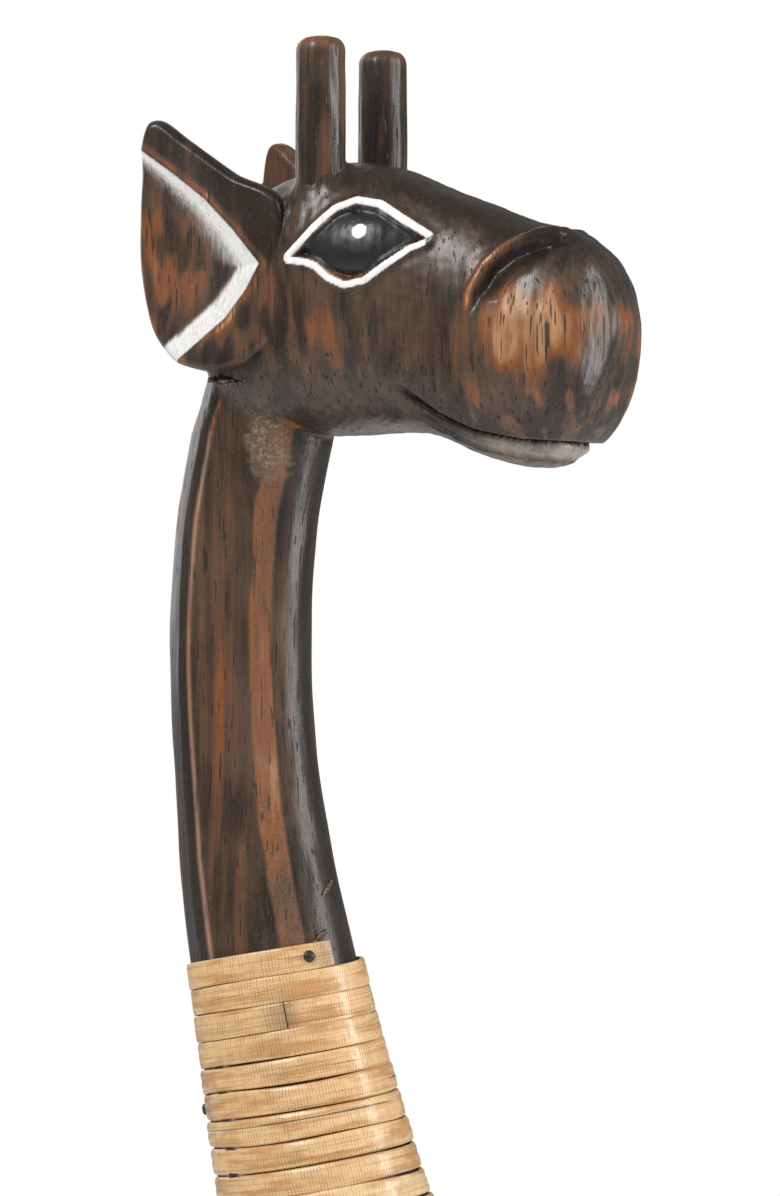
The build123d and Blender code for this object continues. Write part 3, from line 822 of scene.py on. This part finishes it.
def make_torso():
    shoulder = np.linspace(BODY_Z + 0.1 * SHOULDER_RISE, NECK_SEAM_Z, 90)
    pieces = [barrel_tube(), tube(upright(shoulder, neck_sizes(shoulder - 0.01)))]
    for stations in (FORE_STUMP, HIND_STUMP):
        pieces += [stump_tube(stations, side) for side in (-1, 1)]
    torso = fused("body_carving", pieces, BODY_VOXEL)
    edges = mesh_edges(torso)
    points = smoothed(mesh_points(torso), edges, 6)
    under_wrap = points[:, 2] > NECK_SEAM_Z - 42
    near_leg = points[:, 2] < LEG_SEAM_Z + 8
    points = smoothed(points, edges, 60, np.where(under_wrap | near_leg, 0.02, 0.5))
    set_points(torso, points)
    normals = mesh_normals(torso)
    cut = facet_cut(points, normals, 13.0, 0.55, 51) + 0.15 * bump_noise(points, 12.0, 52)
    cut = np.where(under_wrap, -0.4, cut)
    cut = np.where(points[:, 2] < LEG_SEAM_Z, -0.7, cut)
    push_out(torso, points, normals, cut)
    patch = blotches(points, 45.0, 53)
    # painted shade: the barrel is darkened underneath; upward faces are darkened too
    under = ramp(BODY_Z - 20, BODY_Z - 50, points[:, 2])
    set_masks(torso, {
        "wear": 0.30 * ramp(0.4, 0.9, patch) + 0.15 * ramp(0.55, 0.8, np.abs(normals[:, 1])),
        "dark": 0.8 * np.maximum(under, ramp(0.6, 0.9, normals[:, 2])),
    })
    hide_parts("torso")
    return torso


def facet_cut(points, normals, spacing, deepest, seed):
    """How far each point must sink to lie on the nearest of many flat gouge cuts."""
    rng = np.random.default_rng(seed)
    order = rng.permutation(len(points))[:6000]
    chosen = []
    for i in order:
        if all(np.sum((points[i] - points[j]) ** 2) > spacing**2 for j in chosen):
            chosen.append(i)
    seeds, facing = points[chosen], normals[chosen]
    cut = np.empty(len(points))
    for start in range(0, len(points), 20000):
        block = points[start:start + 20000]
        away = ((block[:, None] - seeds[None]) ** 2).sum(2)
        nearest = np.argpartition(away, 4, axis=1)[:, :4]
        gap = ((seeds[nearest] - block[:, None]) * facing[nearest]).sum(2)
        cut[start:start + 20000] = gap.min(axis=1)
    return np.clip(cut, -deepest, 0.1)


def make_leg(stations, side, name, node, seed):
    heights = np.linspace(0, LEG_SEAM_Z, 320)
    sizes = at(stations, heights / LEG_SEAM_Z)
    flats = [0, 45, 88, 140, 180, 220, 272, 315]
    grid = upright(heights, sizes, side_at(side, heights), 96, flats, 24.0)
    leg = new_object(name, *tube(grid))
    points, normals = surface(leg)
    flat = (points[:, 2] < 0.5) | (points[:, 2] > LEG_SEAM_Z - 0.5)
    cut = np.where(flat, 0, knife_marks(points, 0.16, seed))
    cleft = bell(points[:, 1], side_at(side, points[:, 2]), 0.9) * ramp(30, 12, points[:, 2])
    front = normals[:, 0] > 0.3
    cut -= 2.0 * cleft * front * (points[:, 2] > 0.5)
    push_out(leg, points, normals, cut)
    set_masks(leg, {
        "wear": 0.55 * ramp(0.5, 0.9, blotches(points, 22, seed + 5, 0.3)),
        # dark hooves, with painted shade in the cleft down the front of each hoof
        "shade_and_dark_tone": np.maximum(0.75 * ramp(34, 24, points[:, 2]), cleft * front),
    })
    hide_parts(node)
    return leg


def make_tail():
    heights = BODY_Z + np.linspace(-96, 24, 200)
    x, radius = at(TAIL, heights - BODY_Z).T
    over = np.clip((heights[-1] - heights) / 6.0, 0, 1)
    radius = radius * np.sqrt(np.clip(1 - (1 - over) ** 2, 0.02, 1))
    sizes = np.column_stack([x, radius, radius])
    tail = new_object("tail_carving", *tube(upright(heights, sizes, around=80, flats=range(0, 360, 45))))
    points, normals = surface(tail)
    angle = np.arctan2(points[:, 1], points[:, 0] - SHIFT + 155)
    tuft = ramp(BODY_Z - 50, BODY_Z - 62, points[:, 2])
    push_out(tail, points, normals, -0.5 * tuft * np.abs(np.sin(angle * 7)))
    set_masks(tail, {"shade_and_dark_tone": 0.6 * tuft, "wear": 0.3 * (1 - tuft)})
    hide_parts("tail")
    return tail


# ---- rattan binding ----
def wrap_frame(turn, across=0.0):
    """Points on the wood, directions up and out, for arrays of turns and of mm across the strip."""
    def on_wood(turn, above):
        angle = radians(WRAP_START) - 2 * pi * turn
        level = WRAP_TOP_Z - WRAP_PITCH * turn
        z = level + WRAP_TILT * neck_sizes(level)[:, 1] * np.cos(angle) + above
        x, depth, width = neck_sizes(z).T
        return np.column_stack([SHIFT + x + depth * np.cos(angle), width * np.sin(angle), z])

    here = on_wood(turn, across)
    along = on_wood(turn - 0.002, across) - on_wood(turn + 0.002, across)
    up = on_wood(turn, across + 0.5) - on_wood(turn, across - 0.5)
    out = np.cross(along, up)
    return here, out / np.linalg.norm(out, axis=1)[:, None]


def strip_ends():
    per_strip = TURNS / (STRIP_COUNT - 1 + FIRST_STRIP_SHARE)
    ends = [0.0] + [per_strip * (FIRST_STRIP_SHARE + k) for k in range(STRIP_COUNT)]
    return list(zip(ends, ends[1:]))


def make_strip(number, start, end):
    """One flat strip of split rattan: crowned outside, uneven in width, cut square at its ends."""
    rng = np.random.default_rng(60 + number)
    count = int((end - start) * STEPS_PER_TURN)
    turn = np.linspace(start + 0.0015, end - 0.0005, count)
    wave = sum(
        rng.uniform(0.3, 1.0) * np.sin(2 * pi * (turn * k + rng.uniform())) for k in (0.7, 1.3, 2.1, 3.7)
    )
    slack = 0.35 + 0.65 * ramp(2.5, 5.0, turn)
    half = STRIP_WIDTH / 2 + 0.16 - 0.15 * slack + 0.17 * slack * wave
    shift = 0.17 * slack * sum(np.sin(2 * pi * (turn * k + rng.uniform())) for k in (0.9, 1.9, 3.1))
    lift = STRIP_LIFT - 0.15 + 0.16 * np.sin(2 * pi * (turn * 1.7 + rng.uniform()))
    profile = np.sin(np.linspace(-pi / 2, pi / 2, 25))
    groove = 0.10 * np.cos(profile * rng.uniform(7, 11) + rng.uniform(0, 6))
    crown = STRIP_CROWN * (1 - np.abs(profile) ** 9) ** 0.5 + 0.08 + groove * (1 - profile**4)
    rows = []
    rim = 0.85 * (1 - slack)            # where the turns are tight, their edges lie almost flush
    tip = np.clip(np.minimum(turn - turn[0], turn[-1] - turn) * 300, 0, 1) ** 0.4
    for share, height in list(zip(profile, crown)) + [(1.0, 0.0), (0.3, 0.0), (-0.3, 0.0), (-1.0, 0.0)]:
        height = height + rim * (1.15 - height) if height > 0 else height
        spot, out = wrap_frame(turn, half * share * 0.985 + shift)
        rows.append(spot + out * (lift + height * (0.86 + 0.14 * tip))[:, None])
    grid = np.stack(rows, 1)
    strip = new_object(f"rattan_{number}", *tube(grid))
    around = grid.shape[1]
    radius = neck_sizes(WRAP_TOP_Z - WRAP_PITCH * turn)[:, 1:].mean(1)
    length = np.concatenate([[0], np.cumsum(np.diff(turn) * 2 * pi * (radius[1:] + 1))])
    shares = np.concatenate([profile, [1, 0.3, -0.3, -1]]) * STRIP_WIDTH / 2
    for name, values in (
        ("strip_length", np.repeat(length, around)),
        ("strip_across", np.tile(shares, count)),
    ):
        set_attribute(strip, name, np.concatenate([values, values[:1], values[-1:]]))
    stain = np.maximum(ramp(9, 0, length), ramp(length[-1] - 6, length[-1], length))
    set_attribute(strip, "stain", np.concatenate([np.repeat(stain, around), [1, 1]]))
    set_attribute(strip, "tint", np.full(len(strip.data.vertices), rng.uniform(0.2, 0.9)))
    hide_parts(f"rattan_strip_{number}")
    return strip


def make_tack(number, turn):
    """A small round-headed nail, seen from outside as a low dark dome."""
    spot, out = wrap_frame(np.array([turn]))
    spot, out = spot[0] + out[0] * (STRIP_LIFT + STRIP_CROWN), Vector(out[0])
    turned = out.to_track_quat("Z", "Y").to_matrix()
    heights = np.linspace(0, 1, 12)
    radius = TACK_RADIUS * np.sqrt(np.clip(1 - heights**2, 0, 1))
    angle = circle(28)
    grid = np.stack([
        radius[:, None] * np.cos(angle),
        radius[:, None] * np.sin(angle),
        np.broadcast_to(TACK_RISE * heights[:, None], (12, 28)),
    ], -1)
    verts, faces = tube(grid)
    verts = verts @ np.array(turned).T + spot
    tack = new_object(f"tack_{number}", verts, faces)
    return tack


# ---- glue and filler ----
def crumbs(name, line, radius, seed, squash=0.5):
    """A lumpy line of filler pressed into a joint, along points in the row frame."""
    rng = np.random.default_rng(seed)
    line = np.array(line, float)
    keys = np.arange(len(line), dtype=float)
    path = at(np.column_stack([keys, line]), np.linspace(0, keys[-1], 90))
    along = np.gradient(path, axis=0)
    along /= np.linalg.norm(along, axis=1)[:, None]
    side = np.cross(along, [0, 0, 1.0])
    side /= np.linalg.norm(side, axis=1)[:, None] + 1e-9
    up = np.cross(side, along)
    size = radius * np.sin(np.linspace(0, pi, 90)) ** 0.4
    angle = circle(26)
    grid = path[:, None] + size[:, None, None] * (
        np.cos(angle)[None, :, None] * side[:, None] + squash * np.sin(angle)[None, :, None] * up[:, None]
    )
    flat = grid.reshape(-1, 3)
    lumps = 0.28 * radius * bump_noise(flat, 1.6, seed) + 0.15 * radius * bump_noise(flat, 0.8, seed + 1)
    centre = np.repeat(path, 26, axis=0)
    direction = flat - centre
    direction /= np.linalg.norm(direction, axis=1)[:, None] + 1e-9
    grid = (flat + direction * lumps[:, None]).reshape(grid.shape)
    grid += rng.normal(scale=0.04, size=grid.shape)
    return new_object(name, *tube(grid))


def neck_spot(turn, height):
    """A point on the neck's surface, turn degrees round from the front."""
    x, depth, width = neck_sizes(height)[0]
    angle = radians(turn)
    return (SHIFT + x + depth * cos(angle), width * sin(angle), height)


# ---- materials ----
class Value:
    """A number, colour or place that shader nodes work out. Numbers add and multiply as usual."""

    def __init__(self, tree, socket):
        self.tree, self.socket = tree, socket

    def combined(self, operation, a, b=0.0):
        return worked_out(self.tree, "Math", {0: a, 1: b}, operation=operation)

    def __add__(self, other):
        return self.combined("ADD", self, other)

    def __mul__(self, other):
        return self.combined("MULTIPLY", self, other)

    def __sub__(self, other):
        return self.combined("SUBTRACT", self, other)

    def __rsub__(self, other):
        return self.combined("SUBTRACT", other, self)

    def __abs__(self):
        return self.combined("ABSOLUTE", self)

    __radd__, __rmul__ = __add__, __mul__

    def fraction(self):
        return self.combined("FRACT", self)

    def or_more(self, other):
        return self.combined("MAXIMUM", self, other)

    def between(self, low, high, bottom=0.0, top=1.0):
        """bottom while the number is at low or past it, top at high or past it, smooth between."""
        inputs = dict(enumerate((self, low, high, bottom, top)))
        return worked_out(self.tree, "MapRange", inputs, interpolation_type="SMOOTHSTEP")


def put(socket, value):
    """Joins a worked-out value to an input, or sets a constant on it."""
    if isinstance(value, Value):
        value.tree.links.new(value.socket, socket)
    else:
        socket.default_value = value


def worked_out(tree, kind, inputs, output=0, **settings):
    """A new shader node with these settings and inputs, as the value that comes out of it."""
    node = tree.nodes.new("ShaderNode" + kind)
    for name, setting in settings.items():
        setattr(node, name, setting)
    for key, value in inputs.items():
        put(node.inputs[key], value)
    return Value(tree, node.outputs[output])


def object_place(tree):
    return worked_out(tree, "TexCoord", {}, "Object")


def mask(tree, name):
    return worked_out(tree, "Attribute", {}, "Fac", attribute_name=name)


def noise(place, stretch, detail=4.0, roughness=0.55, distortion=0.0):
    """Noise in 0..1 whose features are 1/stretch units of the place apart along each axis."""
    return worked_out(place.tree, "TexNoise", {
        "Vector": worked_out(place.tree, "Mapping", {"Vector": place, "Scale": stretch}),
        "Scale": 1.0,
        "Detail": detail,
        "Roughness": roughness,
        "Distortion": distortion,
    })


def mixed(share, a, b):
    return worked_out(share.tree, "Mix", {"Factor": share, "A": a, "B": b}, "Result", data_type="RGBA")


def bumped(height, distance, strength=1.0, under=None):
    """Relief of so many mm, over the relief under it."""
    inputs = {"Strength": strength, "Distance": distance * MM, "Height": height}
    if under is not None:
        inputs["Normal"] = under
    return worked_out(height.tree, "Bump", inputs)


def layered(color, *layers):
    """The colour under layers, each a share from 0 to 1 and its own colour, the last on top."""
    for share, layer in layers:
        color = mixed(share, color, layer)
    return color


def material(name):
    made = bpy.data.materials.new(name)
    made.use_nodes = True
    tree = made.node_tree
    tree.nodes.clear()
    shader = tree.nodes.new("ShaderNodeBsdfPrincipled")
    output = tree.nodes.new("ShaderNodeOutputMaterial")
    tree.links.new(shader.outputs[0], output.inputs[0])
    return made, tree, shader.inputs


STAIN = (0.022, 0.015, 0.010, 1)
BROWN = (0.088, 0.048, 0.029, 1)
WORN_ORANGE = (0.215, 0.071, 0.021, 1)
WORN_TAN = (0.56, 0.31, 0.150, 1)
FINE_STREAK = (0.03, 0.019, 0.013, 1)
HAZE = (0.13, 0.10, 0.08, 1)
PORE = (0.010, 0.007, 0.005, 1)
DUST = (0.42, 0.33, 0.24, 1)
# painted shade for hollows, grooves, creases and joints; also the dark of hooves and the tail's tip
SHADE_AND_DARK_TONE = (0.012, 0.009, 0.008, 1)
GRIT = (0.27, 0.19, 0.12, 1)
# painted highlight for the mouth's ledge and a corner of the neck
PAINTED_HIGHLIGHT = (0.34, 0.29, 0.24, 1)
EYE_BLACK = (0.011, 0.010, 0.010, 1)
WHITE_PAINT = (0.80, 0.79, 0.77, 1)


def stained_wood(name, grain="z", seed=0.0):
    """Dark stain over pale, open-pored wood: streaks along the grain, pores, worn tan places, painted
    shade in hollows and painted highlights on a few facets.
    """
    made, tree, shader = material(name)
    away = (seed, seed * 0.7, seed * 1.3)
    spot = worked_out(tree, "Mapping", {"Location": away, "Vector": object_place(tree)})

    def stretched(cross, run):
        return (run, cross, cross) if grain == "x" else (cross, cross, run)

    broad = noise(spot, stretched(34, 7), 3.0, 0.5)
    streak = noise(spot, stretched(210, 8), 6.0, 0.64, 0.5)
    fine = noise(spot, stretched(1500, 60), 4.0, 0.6)
    pore = noise(spot, stretched(1000, 75), 1.5, 0.4)
    long_pore = noise(spot, stretched(1300, 42), 1.5, 0.4)
    cloud = noise(spot, (55, 55, 30), 4.0, 0.6)
    speck = noise(spot, (2600, 2600, 2600), 2.0, 0.5)
    sand = noise(spot, (900, 900, 900), 4.0, 0.7)
    wear = mask(tree, "wear")
    black = mask(tree, "black")

    rubbed = 0.62 * wear + 0.34 * broad + 0.72 * (streak - 0.5) + 0.50 * (cloud - 0.54)
    rubbed = rubbed - 0.20 * mask(tree, "dark")
    holes = pore.between(0.345, 0.305).or_more(long_pore.between(0.375, 0.335) * wear.between(0.5, 0.8))
    gritty = mask(tree, "grit") * sand.between(0.40, 0.56, 0.25, 0.95)
    # where a painted highlight lies, broken up by the grain
    pale = mask(tree, "pale") * streak.between(0.25, 0.6, 0.35, 0.9)
    white = (mask(tree, "paint") + 0.5 * (fine - 0.5)).between(0.12, 0.85)

    color = layered(
        STAIN,
        (rubbed.between(0.02, 0.30), BROWN),
        (rubbed.between(0.24, 0.52), WORN_ORANGE),
        (rubbed.between(0.50, 0.92), WORN_TAN),
        (fine.between(0.40, 0.75, 0.0, 0.4), FINE_STREAK),
        (cloud.between(0.4, 0.85, 0.0, 0.10), HAZE),
        (0.85 * holes, PORE),
        (speck.between(0.70, 0.75, 0.0, 0.6), DUST),
        # painted shade in hollows and creases, and dark hooves and tail tip
        (mask(tree, "shade_and_dark_tone"), SHADE_AND_DARK_TONE),
        (gritty, GRIT),
        # painted highlight on the mouth's ledge and a neck corner
        (pale, PAINTED_HIGHLIGHT),
        (black, EYE_BLACK),
        (white, WHITE_PAINT),
    )
    put(shader["Base Color"], color)

    rough = cloud.between(0.25, 0.75, 0.24, 0.42)
    rough = rough + 0.3 * holes + 0.14 * black + 0.25 * gritty + 0.18 * white
    put(shader["Roughness"], rough)
    put(shader["Specular IOR Level"], 0.42)
    put(shader["Coat Weight"], 0.12)
    put(shader["Coat Roughness"], 0.22)
    relief = bumped(streak, 0.35, 0.5)
    relief = bumped(fine, 0.10, 0.6, relief)
    relief = bumped(1.0 - holes, 0.25, 0.9, relief)
    relief = bumped(gritty * sand, 0.7, 1.0, relief)
    put(shader["Normal"], relief)
    put(shader["Coat Normal"], relief)
    return made


PALE_STRAW = (0.80, 0.57, 0.31, 1)
DEEP_STRAW = (0.72, 0.44, 0.20, 1)
TAWNY = (0.52, 0.245, 0.075, 1)
DARK_FIBRE = (0.34, 0.19, 0.085, 1)
CRACK = (0.27, 0.135, 0.05, 1)
FRECKLE = (0.22, 0.12, 0.06, 1)
SPLIT = (0.07, 0.04, 0.02, 1)
SHADED_EDGE = (0.20, 0.12, 0.06, 1)
GLUE_STAIN = (0.16, 0.10, 0.06, 1)


def rattan():
    """Glossy straw-coloured rattan: fibres along each strip and fine cracks across it."""
    made, tree, shader = material("rattan")
    length, across, tint = (mask(tree, name) for name in ("strip_length", "strip_across", "tint"))
    # mm along and across the strip, then which strip
    spot = worked_out(tree, "CombineXYZ", {0: length, 1: across, 2: tint})
    fibre = noise(spot, (0.025, 1.7, 3.0), 4.0, 0.62)
    patch = noise(spot, (0.05, 0.30, 5.0), 3.0, 0.6)
    sway = noise(spot, (0.25, 0.5, 3.0), 2.0, 0.5)
    ruled = abs((length * (1 / CRACK_PITCH) + sway).fraction() - 0.5).between(0.20, 0.02)
    crack = ruled * noise(spot, (0.6, 0.22, 2.0), 3.0, 0.6).between(0.34, 0.60)
    freckle = noise(spot, (0.9, 2.0, 1.0), 2.0, 0.5).between(0.70, 0.78)
    split = noise(spot, (0.012, 1.1, 4.0), 2.0, 0.5).between(0.315, 0.285)
    color = layered(
        DEEP_STRAW,
        (tint, PALE_STRAW),
        (patch.between(0.44, 0.64, 0.0, 0.8), TAWNY),
        (fibre.between(0.47, 0.68, 0.0, 0.6), DARK_FIBRE),
        (0.65 * crack, CRACK),
        (0.5 * freckle, FRECKLE),
        (0.8 * split, SPLIT),
        (abs(across).between(3.5, 3.8, 0.0, 0.35), SHADED_EDGE),
        (0.5 * mask(tree, "stain"), GLUE_STAIN),
    )
    put(shader["Base Color"], color)
    put(shader["Roughness"], 0.36)
    put(shader["Coat Weight"], 0.3)
    put(shader["Coat Roughness"], 0.18)
    relief = bumped(fibre, 0.12, 0.7)
    relief = bumped(1.0 - crack, 0.10, 0.8, relief)
    relief = bumped(1.0 - split, 0.25, 0.8, relief)
    put(shader["Normal"], relief)
    return made


def speckled(name, spots, low, high, dark, pale, relief, roughness, metallic=0.0):
    """A rough two-tone finish whose grains are also its relief."""
    made, tree, shader = material(name)
    grains = noise(object_place(tree), *spots)
    put(shader["Base Color"], mixed(grains.between(low, high), dark, pale))
    put(shader["Metallic"], metallic)
    put(shader["Roughness"], roughness)
    put(shader["Normal"], bumped(grains, relief))
    return made


def filler():
    """Grit and glue pressed into a joint: pale grains in dark stain."""
    spots = ((900, 900, 900), 4.0, 0.7)
    dark, pale = (0.045, 0.03, 0.022, 1), (0.30, 0.21, 0.13, 1)
    return speckled("filler", spots, 0.42, 0.62, dark, pale, 0.35, 0.6)


def iron():
    """Blackened iron with a little rust."""
    spots = ((700, 700, 700), 4.0, 0.6)
    black, rust = (0.035, 0.03, 0.028, 1), (0.12, 0.06, 0.035, 1)
    return speckled("iron", spots, 0.45, 0.7, black, rust, 0.08, 0.45, metallic=0.6)


def plain_floor():
    """White, and a little bright in itself, so that it vanishes into the white around it."""
    made, _, shader = material("floor")
    put(shader["Base Color"], (0.92, 0.92, 0.92, 1))
    put(shader["Roughness"], 0.8)
    put(shader["Emission Color"], (1, 1, 1, 1))
    put(shader["Emission Strength"], 0.22)
    return made


def dress(obj, finish):
    obj.data.materials.clear()
    obj.data.materials.append(finish)
    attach(obj, ROOT)
    return obj


# ---- the statue ----
def build_statue():
    upright_grain = stained_wood("stained_wood_upright", "z", 0.0)
    long_grain = stained_wood("stained_wood_body", "x", 0.81)
    bound, metal, grit = rattan(), iron(), filler()

    dress(make_head(), upright_grain)
    for side, hand in ((-1, "right"), (1, "left")):
        ear = dress(make_ear(side, f"ear_{hand}_carving"), upright_grain)
        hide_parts(f"ear_{hand}")
        horn = dress(make_horn(side, f"horn_{hand}_carving"), upright_grain)
        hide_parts(f"horn_{hand}")
    dress(make_neck(), upright_grain)
    dress(make_torso(), long_grain)
    dress(make_tail(), upright_grain)
    for stations, kind, seed in ((FORELEG, "foreleg", 70), (HINDLEG, "hindleg", 80)):
        for side, hand in ((-1, "right"), (1, "left")):
            leg = make_leg(stations, side, f"{kind}_{hand}_carving", f"{kind}_{hand}", seed + side)
            dress(leg, upright_grain)

    turns = strip_ends()
    for number, (start, end) in enumerate(turns, 1):
        dress(make_strip(number, start, end), bound)
    inset = TACK_INSET / (2 * pi * WRAP_RADIUS)
    spots = [start + inset for number, (start, _) in enumerate(turns) if number != 1]
    for number, spot in enumerate(spots + [turns[-1][1] - inset], 1):
        dress(make_tack(number, spot), metal)
    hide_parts("strip_tacks")

    for side, hand in ((-1, "right"), (1, "left")):
        seam = [
            (SHIFT + 2, side * 22.5, HEAD_SEAM_Z + 15.0),
            (SHIFT + 8, side * 22.0, HEAD_SEAM_Z + 14.0),
            (SHIFT + 15, side * 22.5, HEAD_SEAM_Z + 13.5),
            (SHIFT + 22, side * 24.0, HEAD_SEAM_Z + 15.0),
        ]
        dress(crumbs(f"filler_{hand}", seam, 2.4, 90 + side), grit)
    for number, (turn, low, high) in enumerate(((-33, 6, 10), (-15, 20, 24)), 1):
        smear = [neck_spot(turn + 5 * k, WRAP_TOP_Z + low + (high - low) * k / 3) for k in range(4)]
        dress(crumbs(f"glue_{number}", smear, 1.5 - 0.4 * number, 96 + number), grit)
    for name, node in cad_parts.items():
        if "dowel" in name or "peg" in name:
            node.data.materials.clear()
            node.data.materials.append(upright_grain)


# ---- floor, light and camera ----
CAMERA_TURN = 30.0
CAMERA_AWAY = 1200.0
CAMERA_LOW = 49.5           # the middle of the view is this far under the head seam
CAMERA_AHEAD = 44.1         # and this far to the right of the neck's slimmest part
VIEW_HEIGHT = 358.8
FLOOR_RADIUS = 4200.0
SENSOR_WIDTH = 36.0
LAMPS = {                   # m towards the camera, to its right and up; then size and watts
    "key": (0.9, -0.8, 1.1, (0.7, 0.7), 23),
    "strip": (0.30, 1.1, 0.25, (0.26, 1.3), 12),
    "fill": (-1.2, -0.6, 0.5, (1.2, 1.2), 4),
}
AMBIENT = 0.37
GLOSS_AMBIENT = 0.20        # what glossy surfaces see of the room


def aim(obj, target):
    away = Vector(obj.location) - Vector(target)
    obj.rotation_euler = away.to_track_quat("Z", "Y").to_euler()


def light(name, place, target, size, power):
    data = bpy.data.lights.new(name, "AREA")
    data.shape = "RECTANGLE"
    data.size, data.size_y = size
    data.energy = power
    lamp = bpy.data.objects.new(name, data)
    bpy.context.scene.collection.objects.link(lamp)
    lamp.location = place
    aim(lamp, target)
    return lamp


def build_studio():
    scene = bpy.context.scene
    turn = radians(CAMERA_TURN)
    right = np.array([cos(turn), sin(turn), 0])
    back = np.array([sin(turn), -cos(turn), 0])
    target = (np.array([SHIFT, 0, HEAD_SEAM_Z - CAMERA_LOW]) + right * CAMERA_AHEAD) * MM
    data = bpy.data.cameras.new("camera")
    data.sensor_width = SENSOR_WIDTH
    data.lens = SENSOR_WIDTH * CAMERA_AWAY / VIEW_HEIGHT
    camera = bpy.data.objects.new("camera", data)
    scene.collection.objects.link(camera)
    camera.location = target + back * CAMERA_AWAY * MM
    aim(camera, target)
    scene.camera = camera

    turns = circle(96)
    rim = np.column_stack([FLOOR_RADIUS * np.cos(turns), FLOOR_RADIUS * np.sin(turns), np.full(96, -0.5)])
    floor = new_object("floor", rim, [tuple(range(96))], smooth=False)
    floor.data.materials.append(plain_floor())
    lights = [
        light(name, target + back * near + right * across + UP * high, target, size, watts)
        for name, (near, across, high, size, watts) in LAMPS.items()
    ]
    world = bpy.data.worlds.new("studio")
    world.use_nodes = True
    tree = world.node_tree
    background = tree.nodes["Background"]
    background.inputs[0].default_value = (1, 1, 1, 1)
    path = tree.nodes.new("ShaderNodeLightPath").outputs
    room = Value(tree, path["Is Glossy Ray"]).between(0.0, 1.0, AMBIENT, GLOSS_AMBIENT)
    put(background.inputs[1], Value(tree, path["Is Camera Ray"]).or_more(room))
    scene.world = world
    scene.view_settings.view_transform = "Standard"


build_statue()
build_studio()
